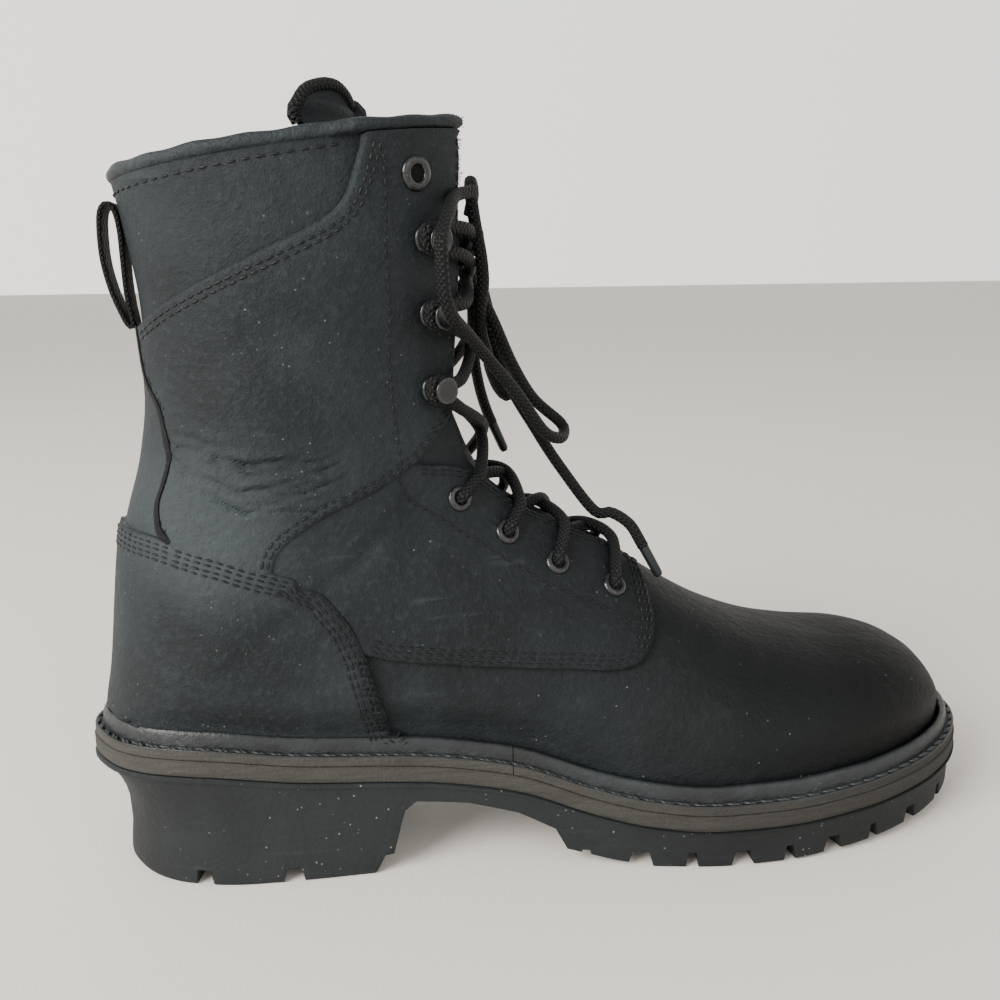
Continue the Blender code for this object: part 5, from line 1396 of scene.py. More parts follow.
def outsole_body():
    angles = stations(96)
    rings = []
    for level in (0.0, 0.02, 0.05, 0.15, 0.30, 0.42, 0.55, 0.66, 0.76, 0.84, 0.90, 0.94, 0.955, 0.962, 0.985, 1.0):
        rounded = 0.0006 if level in (0.0, 1.0) else 0.0
        plan = outline(FLARE_SIDE(level) * HEEL_HEIGHT + rounded, angles, FLARE_BACK(level) * HEEL_HEIGHT)
        ring = []
        for x, y in plan:
            along = share_at(x)
            low = spring(along)
            ring.append((x, y, low + (sole_top(along) - low) * level))
        rings.append(ring)
    return plan_loft("outsole", rings)


def make_outsole():
    item = held("outsole_block", outsole_body())
    arch = [(at_length(along), high * HEEL_HEIGHT) for along, high in ARCH]
    tools = [held("arch", side_prism("arch", arch, BALL_WIDTH)), held("notches", edge_notches()),
             held("pocket", tread_pocket())]
    for tool in tools:
        cut(item, tool)
    blocks = held("middle_lugs", middle_lugs())
    cut(item, blocks, "UNION")
    soft = item.modifiers.new("Edges", "BEVEL")
    soft.width = 0.0005
    soft.segments = 2
    soft.limit_method = "ANGLE"
    soft.angle_limit = math.radians(48.0)
    mesh = settled(item)
    drop(blocks, *tools)
    piece("outsole_tread", mesh, ("rubber",), ("outsole",))


def layered(name, rows, key, node, count=120):
    """Layer that follows the sole's line, through rows of inset and height."""
    rings = []
    for inset, level in rows:
        plan = outline(inset, stations(count))
        rings.append([(x, y, sole_top(share_at(x)) + level) for x, y in plan])
    piece(name, plan_loft(name, rings), (key,), (node,))


def welt_rows(section, count):
    angles = stations(count, (WELT_JOINT - 0.0004, WELT_JOINT + 0.0004))
    rows = []
    for share, flat, ridge in section:
        reach = 0.0008 + (WELT_LEDGE - 0.0008 - GAP) * share
        high = MIDSOLE + GAP + WELT * flat + WELT_RIDGE * ridge
        rows.append([(x, y, sole_top(share_at(x)) + high) for x, y in outline(reach, angles)])
    return rows, outline(0.0, angles)


def make_welt(name, front):
    """Flat strip with a stitched channel, and the rounded ridge that covers the upper's edge."""
    rows, middle = welt_rows(WELT_SECTION, 130)
    joint = at_length(WELT_JOINT)
    size, wide = len(rows[0]), len(rows)
    keep = [i for i in range(size) if (middle[i][0] > joint) == front]
    if not front:
        split = next(n for n in range(len(keep)) if keep[n] + 1 not in keep and keep[n] < size // 2)
        keep = keep[split + 1:] + keep[:split + 1]
    points = [rows[k][i] for i in keep for k in range(wide)]
    faces = [tuple(range(wide)), tuple(range((len(keep) - 1) * wide, len(keep) * wide))]
    faces += ring_faces(len(keep), wide)
    marks = [0, 0] + [1 if k == 0 else 0 for _ in keep[1:] for k in range(wide)]
    mesh = out_facing(loose_mesh(name, points, faces, marks))
    piece(name + "_strip", mesh, ("welt", "midsole"), (name,), sharp=50.0)


def welt_stitches():
    """Waxed lock stitches that lie aslant in the channel."""
    look = settings()
    rows, _ = welt_rows(((0.25, 0.93, 0.0),), 130)
    line = np.array(rows[0] + rows[0][:1])
    spots, along = spaced(line, look.welt_pitch)
    along /= np.linalg.norm(along, axis=1, keepdims=True)
    side = np.cross(along, (0.0, 0.0, 1.0))
    doubled = np.concatenate([spots - along * 0.0008, spots + along * 0.0008])
    slant = np.concatenate([along + side * 0.55, along + side * 0.55])
    threads("welt_stitching", doubled, slant, look.welt_pitch * 0.62, look.welt_radius, "welt_thread")


# Upper


def make_upper():
    """Skin of the upper in one net, open down the throat, with a lined inner face."""
    rows = [0.0, 0.12, 0.3, 0.5, 0.75] + [1.0 + n / 6.0 for n in range(int((COLLAR - 1.0) * 6) + 1)]
    count = 44
    points, keys, faces = [], {}, []
    grid = {}
    for side in BOTH:
        for r, at in enumerate(rows):
            start = THROAT_HALF(at) * COLLAR_WIDTH / hoop(at).length(side) if at > THROAT else 0.0
            down = start + (1.0 - start) * np.arange(count + 1) / count
            grid[side, r] = lay(np.full(count + 1, at), down, side)

    def vertex(r, c, side):
        at = rows[r]
        if r == 0:
            key = "tip"
        elif c == 0 and at <= THROAT + 0.01:
            key = (r, 0)
        elif c == count and at >= HEEL_CORNER:
            key = (r, count)
        else:
            key = (r, c, side)
        if key not in keys:
            keys[key] = len(points)
            spot = grid[side, r][c].copy()
            if len(key) == 2:
                spot[1] = grid[LATERAL, r][c][1] * 0.5 + grid[MEDIAL, r][c][1] * 0.5
            points.append(spot)
        return keys[key]

    for r in range(len(rows) - 1):
        for side in BOTH:
            for c in range(count):
                face = [vertex(r, c, side), vertex(r + 1, c, side),
                        vertex(r + 1, c + 1, side), vertex(r, c + 1, side)]
                face = [k for n, k in enumerate(face) if k not in face[:n]]
                if side == MEDIAL:
                    face.reverse()
                if len(face) > 2:
                    faces.append(tuple(face))
    item = held("skin", loose_mesh("upper", points, faces))
    for key in ("vamp", "lining"):
        item.data.materials.append(material(key))
    wall = item.modifiers.new("Wall", "SOLIDIFY")
    wall.thickness = UPPER_WALL
    wall.offset = -1.0
    wall.use_quality_normals = True
    wall.material_offset = 1
    wall.material_offset_rim = 0
    piece("upper_skin", settled(item), ("vamp", "lining"), ("upper",), sharp=60.0)


def make_tongue():
    """Soft tongue behind the throat, with a braided edge along its top."""
    table = [(float(n), *row) for n, row in enumerate(TONGUE_ROWS)]
    at_of, back_of, lift_of, cover_of = columns(table)
    marks = np.linspace(0.0, len(TONGUE_ROWS) - 1.0, 73)
    wide = 28
    rows = []
    for mark in marks:
        at, cover = at_of(mark), cover_of(mark)
        across = np.linspace(-1.0, 1.0, wide + 1)
        row = np.zeros((wide + 1, 3))
        for side, chosen in ((LATERAL, across <= 0.0), (MEDIAL, across > 0.0)):
            down = np.abs(across[chosen]) * cover
            ats = np.full(down.shape, at)
            out = read_net(NET_OUT[side], ats, down)
            row[chosen] = read_net(NET[side], ats, down) - out * (UPPER_WALL + TONGUE_REST)
        row[:, 0] -= back_of(mark) * COLLAR_WIDTH
        flop = 0.75 * ease(marks[-1] - 5.0, marks[-1], mark)
        row[:, 2] += lift_of(mark) * COLLAR_WIDTH * (1.0 - flop * (1.0 - np.abs(across)) ** 1.3)
        row[:, 0] += 0.0007 * np.sin(across * 3.0 + mark * 2.1) * (0.4 + 0.6 * mark / marks[-1])
        rows.append(row)
    size = wide + 1
    faces = []
    for r in range(len(rows) - 1):
        for c in range(wide):
            a = r * size + c
            faces.append((a, a + 1, a + size + 1, a + size))
    item = held("tongue_face", loose_mesh("tongue", [p for row in rows for p in row], faces))
    wall = item.modifiers.new("Thickness", "SOLIDIFY")
    wall.thickness = TONGUE
    wall.offset = -1.0
    piece("tongue_leather", settled(item), ("tongue",), ("tongue",), sharp=60.0)
    edge = [rows[r][0] for r in range(TRIM_START, len(rows))]
    edge += [rows[-1][c] for c in range(1, size)]
    edge += [rows[r][-1] for r in range(len(rows) - 2, TRIM_START - 1, -1)]
    sunk = np.array(edge)
    sunk[:, 0] -= TONGUE * 0.4
    line = smooth_route(sunk[::3], 0.0022)
    piece("tongue_trim", tubes_mesh("tongue_trim", [(line, 0.0019, False)]), ("trim",), sharp=80.0)


# Panels over the upper

QUARTER_RUNS = (
    (QUARTER_LOWER, "free"), (QUARTER_FACING, "free"), (QUARTER_FLAP, "free"),
    (tuple(reversed(SHAFT_LOWER)), "under"), (tuple(reversed(COUNTER_MIDDLE)), "under"))
SHAFT_RUNS = (
    (SHAFT_LOWER, "free"), (SHAFT_TOE, "free"), (SHAFT_FACING, "free"), (SHAFT_TOP, "under"),
    (COLLAR_SEAM, "free"), (BACKSTAY_EDGE, "raw"), (tuple(reversed(COUNTER_TOP)), "under"))
SEAM_UP = ((19.08, 1.0), (17.70, 1.0), (SEAM_FOOT, 1.0))
COUNTER_RUNS = (
    (COUNTER_FRONT, "free"), (COUNTER_MIDDLE, "free"), (COUNTER_TOP, "free"), (COUNTER_BACK, "free"),
    (SEAM_UP, "seam"), (COUNTER_WELT, "welt"))
STAY_UP = ((19.08, 1.0), (20.40, 1.0), (21.80, 1.0))
BACKSTAY_RUNS = (
    (BACKSTAY_EDGE, "under"), (COUNTER_BACK, "under"), (STAY_UP, "seam"), (BACKSTAY_TOP, "free"))
# How far each kind of edge is moved inwards over its pattern.
SHIFTS = {"free": 0.00025, "raw": 0.00025, "under": -0.0009, "welt": -0.0021, "seam": 0.0}
# Rows inside a cut edge: how far in, and share of the panel's height.
EDGE_ROWS = ((0.0004, 0.92), (0.0011, 1.0), (0.0022, 1.0))
FLAT_EDGE = 0.002
PANEL_BASE = 0.00005
# Corners of the pattern's field that holds the ankle's wrinkles, and its finer pitch.
WRINKLED = np.array(((0.1705, 0.050), (0.2040, 0.128)))
WRINKLE_PITCH = 0.0009


def above_welt(at, side):
    """Share of the hoop's side that ends just over the welt."""
    clear = WELT + WELT_RIDGE + WELT_CLEAR
    low, high = 0.5, 1.0
    for _ in range(14):
        middle = (low + high) / 2.0
        point = on_form(at, middle, side)
        if point.z - feather(share_at(point.x)) > clear:
            low = middle
        else:
            high = middle
    return low


def walk_run(rows, side, pitch):
    """Even points along one run of a panel's edge, as hoop and share."""
    welted = all(row[1] == WELTED for row in rows[1:])
    placed = [(at, above_welt(at, side) if down == WELTED else down) for at, down in rows]
    spots = read_net(NET[side], [p[0] for p in placed], [p[1] for p in placed])
    marks = distances(spots)
    at, down = (curve_through(list(marks), column) for column in zip(*placed))
    fine = np.linspace(0.0, marks[-1], 121)
    ats, downs = np.array([at(m) for m in fine]), np.array([down(m) for m in fine])
    spots = read_net(NET[side], ats, downs)
    walk = distances(spots)
    even = np.linspace(0.0, walk[-1], max(1, round(walk[-1] / pitch)) + 1)
    ats, downs = np.interp(even, walk, ats), np.interp(even, walk, downs)
    if welted:
        downs[1:] = [above_welt(a, side) for a in ats[1:]]
    return ats, downs


def joined(runs, side, pitch):
    """Several runs of an edge as one, each without its last point."""
    walked = [walk_run(rows, side, pitch) for rows, _ in runs]
    return [np.concatenate([run[k][:-1] for run in walked]) for k in (0, 1)]


def pattern_turn(runs, side):
    """Which way round a panel's edge is listed on its flat pattern."""
    at, down = joined(runs, side, 0.008)
    u, v = at * PATTERN_HOOP, down * PATTERN_SIDE
    return 1.0 if (np.roll(u, 1) * v - np.roll(v, 1) * u).sum() > 0.0 else -1.0


def step_in_closed(at, down, side, reach, turn):
    pad = 3
    ats = np.concatenate([at[-pad:], at, at[:pad]])
    downs = np.concatenate([down[-pad:], down, down[:pad]])
    reaches = np.broadcast_to(reach, at.shape)
    reaches = np.concatenate([reaches[-pad:], reaches, reaches[:pad]])
    a, d = step_in(ats, downs, side, reaches[:, None], turn)
    return a[pad:-pad], d[pad:-pad]


def panel(name, runs, sides, thick, nodes, pitch):
    """Closed piece of leather over a pattern, with a cut edge that is rounded at its top."""
    top = PANEL_SEAT + thick
    points, faces, marks = [], [], []
    for side in sides:
        turn = pattern_turn(runs, side)
        at, down, kinds = [], [], []
        for rows, kind in runs:
            a, d = walk_run(rows, side, pitch)
            at.append(a[:-1])
            down.append(d[:-1])
            kinds += [kind] * (len(a) - 1)
        at, down = np.concatenate(at), np.concatenate(down)
        kinds = np.array(kinds)
        shift = np.array([SHIFTS[kind] for kind in kinds])
        mixed = (np.roll(shift, 1) + shift) / 2.0
        moved_at, moved_down = step_in_closed(at, down, side, mixed, turn)
        seam = (down > 0.9999) & (at > HEEL_CORNER)
        moved_down[seam] = 1.0
        moved_down = np.minimum(moved_down, 1.0)
        cut_edge = (kinds != "seam") & (kinds != "under") & ~seam
        spots = [Vector((a * PATTERN_HOOP, d * PATTERN_SIDE)) for a, d in zip(moved_at, moved_down)]
        share = [(0.90 if kind == "raw" else 0.66) if flag else 1.0 for flag, kind in zip(cut_edge, kinds)]
        edge = np.array([tuple(s) for s in spots])
        dark = list(kinds == "raw")
        for reach, high in EDGE_ROWS:
            a, d = step_in_closed(moved_at, moved_down, side, reach, turn)
            for k in np.nonzero(cut_edge & np.roll(cut_edge, 1))[0]:
                if d[k] < 0.9995 and (reach < FLAT_EDGE or dark[k]):
                    spots.append(Vector((a[k] * PATTERN_HOOP, d[k] * PATTERN_SIDE)))
                    share.append(high)
                    dark.append(dark[k])
        low, high = edge.min(0), edge.max(0)
        us = np.arange(low[0], high[0], pitch)
        vs = np.arange(low[1], high[1], pitch)
        grid = [(u + 0.5 * pitch * (j % 2), v) for j, v in enumerate(vs) for u in us]
        if "shaft" in name:
            close = WRINKLE_PITCH
            lows, highs = WRINKLED
            grid = [p for p in grid if not (lows[0] < p[0] < highs[0] and lows[1] < p[1] < highs[1])]
            us, vs = np.arange(lows[0], highs[0], close * 0.4), np.arange(lows[1], highs[1], close)
            grid += [(u + 0.2 * close * (j % 2), v) for j, v in enumerate(vs) for u in us]
        grid = np.array(grid)
        after = np.roll(edge, -1, axis=0)
        inside = np.zeros(len(grid), bool)
        near = np.full(len(grid), 1.0)
        for p, q in zip(edge, after):
            if p[1] != q[1]:
                crosses = (p[1] > grid[:, 1]) != (q[1] > grid[:, 1])
                inside ^= crosses & (grid[:, 0] < p[0] + (grid[:, 1] - p[1]) / (q[1] - p[1]) * (q[0] - p[0]))
            run = q - p
            t = np.clip((grid - p) @ run / max(run @ run, 1e-12), 0.0, 1.0)
            near = np.minimum(near, np.linalg.norm(grid - (p + t[:, None] * run), axis=1))
        for spot in grid[inside & (near > 0.45 * pitch)]:
            spots.append(Vector(spot))
            share.append(1.0)
        flat, _, tris, sources, _, _ = delaunay_2d_cdt(spots, [], [list(range(len(edge)))], 1, 1e-7)
        base, count = len(points), len(flat)
        at = np.array([p.x / PATTERN_HOOP for p in flat])
        down = np.array([p.y / PATTERN_SIDE for p in flat])
        high = np.array([share[found[0]] if found else 1.0 for found in sources])
        points += list(lay(at, down, side, PANEL_BASE))
        points += list(lay(at, down, side, PANEL_BASE + (top - PANEL_BASE) * high))
        open_edges = {}
        dark += [False] * (len(spots) - len(dark))
        black = [bool(found) and dark[found[0]] for found in sources]
        for tri in tris:
            faces.append(tuple(base + k for k in reversed(tri)))
            faces.append(tuple(base + count + k for k in tri))
            marks += [1, 1 if all(black[k] for k in tri) else 0]
            for i in range(3):
                a, b = tri[i - 1], tri[i]
                open_edges[a, b] = (b, a) not in open_edges
                if not open_edges[a, b]:
                    open_edges[b, a] = False
        for (a, b), is_open in open_edges.items():
            both_on_seam = all(down[k] > 0.9999 and at[k] > HEEL_CORNER for k in (a, b))
            if is_open and not both_on_seam:
                faces.append((base + a, base + b, base + count + b, base + count + a))
                first = min(sources[a] + sources[b] + [len(kinds) - 1])
                marks.append(1 if kinds[first] == "raw" else 2)
    mesh = out_facing(loose_mesh(name, points, faces, marks), 1e-6)
    piece(name, mesh, ("panel", "raw", "edge"), nodes, sharp=55.0)


def seam_rows(runs, group, reaches, thick):
    """Rows of stitches beside some runs of a panel's edge."""
    look = settings()
    high = PANEL_SEAT + thick + look.stitch_radius * 0.25
    for side in BOTH:
        turn = pattern_turn(runs, side)
        a, d = joined([runs[k] for k in group], side, SEAM_STEP)
        for reach in reaches:
            at, down = step_in(a, d, side, reach, turn)
            keep = (down < 0.999) & (at < 23.85)
            SEAMS.row(lay(at[keep], down[keep], side, high), look.stitch_pitch)


SEAM_STEP = 0.0015
# Runs of an edge and the distances of the stitch rows from it.
SEAM_PLAN = (
    (COUNTER_RUNS, (0, 1, 2), (0.0018, 0.0034, 0.0052, 0.0068), SHAFT_PANEL),
    (COUNTER_RUNS, (3,), (0.0018, 0.0034, 0.0052, 0.0068), SHAFT_PANEL),
    (SHAFT_RUNS, (0, 1), (0.0019, 0.0036), SHAFT_PANEL),
    (SHAFT_RUNS, (2,), (0.0019,), SHAFT_PANEL),
    (SHAFT_RUNS, (4,), (0.0032, 0.0050), SHAFT_PANEL),
    (QUARTER_RUNS, (0,), (0.0018, 0.0034, 0.0052), PANEL),
    (QUARTER_RUNS, (1, 2), (0.0016, 0.0032), PANEL))
# Seam behind the eyelets and hooks.
EYESTAY = (
    (23.70, 0.331), (21.46, 0.331), (19.40, 0.301), (17.87, 0.273), (16.90, 0.255), (15.63, 0.249), (14.76, 0.241),
    (13.71, 0.254), (12.97, 0.272), (12.23, 0.306), (11.66, 0.336), (11.17, 0.356), (10.61, 0.369), (9.99, 0.398))


def make_panels():
    for side, word in SIDES:
        panel("quarter_%s_leather" % word, QUARTER_RUNS, (side,), PANEL, ("quarter_" + word,), 0.0020)
        panel("shaft_%s_leather" % word, SHAFT_RUNS, (side,), SHAFT_PANEL, ("shaft_" + word,), 0.0013)
    for side, word in SIDES:
        make_back_edge(side, word)
    panel("counter_leather", COUNTER_RUNS, BOTH, SHAFT_PANEL, ("counter",), 0.0022)
    panel("backstay_leather", BACKSTAY_RUNS, BOTH, PANEL * 0.35, ("backstay",), 0.0022)


def make_back_edge(side, word):
    """Black strip along the back edge of the shaft's panel, which slopes down to the backstay."""
    top = PANEL_SEAT + SHAFT_PANEL
    section = ((-0.0004, top - 0.0004), (-0.0004, top + 0.00012), (0.0007, top + 0.00012),
               (0.0017, top * 0.85), (0.0024, 0.0003), (0.0008, 0.0002))
    at, down = walk_run(BACKSTAY_EDGE, side, SEAM_STEP)
    rings = [lay(at, np.minimum(down + reach / 0.125, 1.0), side, high) for reach, high in section]
    size, count = len(section), len(at)
    points = [rings[s][k] for k in range(count) for s in range(size)]
    faces = [tuple(range(size)), tuple(size * (count - 1) + s for s in reversed(range(size)))]
    faces += ring_faces(count, size)
    mesh = out_facing(loose_mesh("back_edge", points, faces), 1e-6)
    piece("back_edge_" + word, mesh, ("raw",), sharp=80.0)


def make_seams():
    look = settings()
    for plan in SEAM_PLAN:
        seam_rows(*plan)
    for side in BOTH:
        a, d = walk_run(EYESTAY, side, SEAM_STEP)
        top = np.where(a > 16.6, PANEL_SEAT + SHAFT_PANEL, PANEL_SEAT + PANEL)
        SEAMS.row(lay(a, d, side, top + look.stitch_radius * 0.25), look.stitch_pitch)
        d = np.linspace(0.40, 0.995, 120)
        SEAMS.row(lay(np.full(120, 23.72), d, side, look.stitch_radius * 0.4), look.stitch_pitch * 1.25)
    SEAMS.sew("seam_stitching", look.stitch_length, look.stitch_radius, "thread")


# Collar binding and pull loop


def make_binding():
    """Roll over the collar's rim, from one front edge round the back to the other."""
    start = THROAT_HALF(COLLAR) * COLLAR_WIDTH
    spots = []
    steps = 96
    for side in BOTH:
        total = hoop(COLLAR).length(side)
        marks = range(steps + 1) if side == LATERAL else range(steps - 1, -1, -1)
        spots += [(side, (start + (total - start) * i / steps) / total) for i in marks]
    back = UPPER_WALL + GAP
    section = [(math.sin(a) * 1.10, 0.50 - 0.50 * math.cos(a)) for a in np.linspace(0.35, 2.0 * math.pi - 0.35, 17)]
    rings = []
    for n, (side, down) in enumerate(spots):
        over_panel = 1.0 - ease(SHAFT_TOP[-1][1], SHAFT_TOP[-1][1] + 0.08, down)
        out = BINDING_LIP + (PANEL_SEAT + SHAFT_PANEL + GAP - BINDING_LIP) * over_panel
        across = read_net(NET_OUT[side], [COLLAR], [down])[0]
        across = np.array((across[0], across[1], 0.0))
        across /= np.linalg.norm(across)
        point = read_net(NET[side], [COLLAR], [down])[0] + across * (out - back) / 2.0
        half = (out + back) / 2.0
        lump = 1.0 + 0.05 * math.sin(n * 0.55) + 0.04 * math.sin(n * 0.23 + 1.0)
        rings.append([point + across * half * a * lump + np.array((0.0, 0.0, BINDING * b * lump - 0.0002))
                      for a, b in section])
    size = len(section)
    faces = ring_faces(len(rings), size)
    faces += [tuple(range(size)), tuple(range((len(rings) - 1) * size, len(rings) * size))]
    mesh = out_facing(loose_mesh("binding", [p for ring in rings for p in ring], faces))
    piece("binding_roll", mesh, ("binding",), ("collar_binding",), sharp=60.0)
    return rings


def make_fray(rings):
    """Loose fibres at the binding's raw ends and on the shaft's raw front edge."""
    look = settings()
    random = np.random.default_rng(11)
    spots, along = [], []
    for ring, ahead in ((rings[0], rings[1]), (rings[-1], rings[-2])):
        ring, ahead = np.array(ring), np.array(ahead)
        out = (ring.mean(0) - ahead.mean(0))
        out /= np.linalg.norm(out)
        for _ in range(150):
            k = random.integers(0, len(ring))
            spot = ring.mean(0) + (ring[k] - ring.mean(0)) * random.uniform(0.2, 1.0)
            spots.append(spot)
            along.append(out + random.normal(0.0, 0.55, 3))
    for side in BOTH:
        at = random.uniform(21.6, 23.9, 260)
        down = np.interp(at, [21.46, 23.90], [0.126, 0.135]) + random.uniform(-0.001, 0.004, 260)
        high = random.uniform(0.0006, PANEL_SEAT + SHAFT_PANEL, 260)
        base = lay(at, down, side, high)
        inner = lay(at, down + 0.03, side, high)
        away = base - inner
        away /= np.linalg.norm(away, axis=1, keepdims=True)
        spots += list(base)
        along += list(away + random.normal(0.0, 0.5, away.shape))
    threads("loose_fibres", spots, along, look.fray_length, 0.00007, "raw", 0.5)


def make_pull_loop():
    """Loop of webbing with a braided cord along both edges."""
    foot = on_form(21.8, 1.0, LATERAL)
    route = [foot + Vector((-back, 0.0, high)) * LOOP_HEIGHT for back, high in PULL_LOOP]
    line = smooth_route(route, 0.0014, closed=True)
    count = len(line)
    thick, wide = LOOP_WALL / 2.0, LOOP_WIDTH / 2.0 - 0.0006
    section = [(-thick, -wide), (-thick, -wide * 0.5), (-thick, 0.0), (-thick, wide * 0.5), (-thick, wide),
               (thick, wide), (thick, wide * 0.5), (thick, 0.0), (thick, -wide * 0.5), (thick, -wide)]
    rings = []
    for i in range(count):
        along = line[(i + 1) % count] - line[i - 1]
        across = np.array((-along[2], 0.0, along[0]))
        across /= np.linalg.norm(across)
        rings.append([line[i] + across * a + np.array((0.0, b, 0.0)) for a, b in section])
    size = len(section)
    mesh = out_facing(loose_mesh("webbing", [p for ring in rings for p in ring], ring_faces(count, size, True)))
    piece("pull_loop_webbing", mesh, ("webbing",), ("pull_loop",), sharp=50.0)
    runs = [(line + np.array((0.0, y, 0.0)), 0.0008, True) for y in (-wide, wide)]
    piece("pull_loop_edges", tubes_mesh("pull_loop_edges", runs), ("trim",), sharp=80.0)


# Eyelets and hooks


def turned(profile, steps=32, ring=False):
    """Corners and faces turned round Z from a profile of radius and height, with UVs."""
    verts, faces, corners = [], [], []
    count = len(profile)
    widest = max(r for r, _ in profile)
    for s in range(steps):
        a = 2.0 * math.pi * s / steps
        verts += [(r * math.cos(a), r * math.sin(a), z) for r, z in profile]
    for s in range(steps):
        t = (s + 1) % steps
        for k in range(count):
            m = (k + 1) % count
            faces.append((s * count + k, s * count + m, t * count + m, t * count + k))
            for turn, n in ((s, k), (s, m), (s + 1, m), (s + 1, k)):
                # With ring, every corner sits on the middle of an enamel dot, so its bright band is whole: the
                # hooks' painted highlight.
                corners.append((0.5 / 9.0 if ring else turn / steps, profile[n][0] / widest))
    return verts, faces, corners


EYELET_PROFILE = (
    (0.46, -1.20), (0.46, 0.30), (0.49, 0.72), (0.55, 0.96), (0.64, 1.04), (0.78, 1.00), (0.90, 0.80), (0.97, 0.45),
    (1.00, 0.10), (1.00, -0.10))
HOOK_PROFILE = (
    (0.00, 0.97), (0.35, 0.98), (0.66, 0.985), (0.84, 0.995), (0.93, 0.99), (0.985, 0.96), (1.00, 0.925),
    (0.985, 0.885), (0.93, 0.86), (0.45, 0.82), (0.37, 0.74), (0.37, 0.26), (0.45, 0.17), (0.85, 0.12), (1.02, 0.07),
    (1.05, 0.0), (1.05, -0.06), (0.00, -0.06))


def stand(verts, at, down, side, high):
    """Moves a turned shape onto the form, with its Z out of the leather."""
    out = Vector(read_net(NET_OUT[side], [at], [down])[0])
    turn = Vector((0.0, 0.0, 1.0)).rotation_difference(out).to_matrix()
    place = Vector(lay(at, down, side, high)[0])
    return [turn @ Vector(v) + place for v in verts]


def make_hardware():
    for side, word in SIDES:
        shapes = []
        for n, (at, down, thick, wide) in enumerate(EYELETS):
            profile = [(r * wide / 2.0, z * EYELET_HEIGHT) for r, z in EYELET_PROFILE]
            shapes.append(("eyelet_%s_%d" % (word, n + 1), profile, False, at, down, thick, 0.0))
        for n, (at, down) in enumerate(HOOKS):
            profile = [(r * HOOK_HEAD / 2.0, z * HOOK_HEIGHT) for r, z in HOOK_PROFILE]
            # Hooks take a whole bright band round the head: painted highlight.
            shapes.append(("hook_%s_%d" % (word, n + 1), profile, True, at, down, SHAFT_PANEL, HARDWARE_SEAT))
        for name, profile, ring, at, down, thick, extra in shapes:
            verts, faces, corners = turned(profile, ring=ring)
            mesh = loose_mesh(name, stand(verts, at, down, side, PANEL_SEAT + thick + extra), faces)
            mesh.uv_layers.new(name="round").data.foreach_set("uv", [x for pair in corners for x in pair])
            mesh = out_facing(mesh, 1e-6)
            piece(name + "_metal", mesh, ("enamel",), (name,), sharp=60.0)
        # Black discs over the eyelets' holes stand in for the shade inside them: painted shade.
        holes, faces = [], []
        for at, down, thick, wide in EYELETS:
            rim = [(wide * 0.24 * math.cos(a), wide * 0.24 * math.sin(a), 0.0)
                   for a in np.arange(16) * math.pi / 8.0]
            faces.append(tuple(range(len(holes), len(holes) + 16)))
            holes += stand(rim, at, down, side, PANEL_SEAT + thick + 0.00012)
        piece("eyelet_hole_shade_" + word, loose_mesh("holes", holes, faces), ("dark",))


# The lace's height over the form at the shaft's facing and over the middle, and how much higher the
# upper strand of a crossing runs, as shares of its own thickness.
LACE_AT_SHAFT = 1.69
LACE_AT_MIDDLE = 0.30
LACE_LIFT = 0.36
# How far outside the facing's edge it passes, as a share of the side.
FACING_INSET = 0.015
# How far a strand slants at an eyelet, how far below a hook it arrives and leaves, and how far a
# crossing sags, in hoops.
STRAND_SLANT = 0.20
HOOK_ARRIVE = 0.80
HOOK_LEAVE = 0.18
HOOK_DROP = 0.70
# Depth under the leather's face at which a run of lace starts in its hole.
IN_HOLE = 0.0030
# Turns, start, width, height and lean of the knot's wraps.
WRAPS = ((1.35, 0.4, 0.0034, 0.0040, 0.55), (1.1, 2.3, 0.0031, 0.0043, -0.6))
WRAP_POINTS = 14
# Points taken off each free end, which its tip replaces, and the tip's distances and radii.
TIP_POINTS = 6
TIP_AT = (0.0, 0.0006, 0.0110, 0.0122)
TIP_RADII = (0.0017, 0.00185, 0.0017, 0.0012)
# The knot, and the free stretches of lace from it: along the foot, across it and up, as shares of
# the collar width from the knot's middle.
KNOT = (0.938, 0.000, 2.449)
KNOT_SAG = 0.36
LOOPS = {
    "lace_loop_lateral": (
        (-0.008, -0.222, 0.176), (-0.081, -0.321, 0.151), (-0.115, -0.440, 0.097), (-0.147, -0.524, 0.036),
        (-0.163, -0.560, -0.021), (-0.161, -0.560, -0.104), (-0.151, -0.536, -0.197), (-0.119, -0.488, -0.270),
        (-0.063, -0.405, -0.327), (0.042, -0.286, -0.442), (0.161, -0.214, -0.581), (0.272, -0.155, -0.731),
        (0.351, -0.095, -0.775), (0.389, -0.024, -0.762), (0.380, 0.012, -0.724), (0.264, 0.000, -0.619),
        (0.172, -0.036, -0.475), (0.097, -0.060, -0.310), (0.035, -0.060, -0.182)),
    "lace_loop_medial": (
        (0.014, 0.000, 0.105), (0.026, -0.036, 0.183), (0.008, -0.095, 0.224), (0.002, -0.150, 0.158),
        (0.014, -0.170, 0.051), (0.034, -0.165, -0.060), (0.042, -0.150, -0.160), (0.034, -0.116, -0.250),
        (0.048, -0.040, -0.345), (0.080, 0.030, -0.425), (0.105, 0.100, -0.505), (0.145, 0.170, -0.585),
        (0.190, 0.200, -0.630), (0.220, 0.210, -0.600), (0.200, 0.200, -0.510), (0.160, 0.190, -0.410),
        (0.120, 0.170, -0.300), (0.085, 0.130, -0.190)),
}
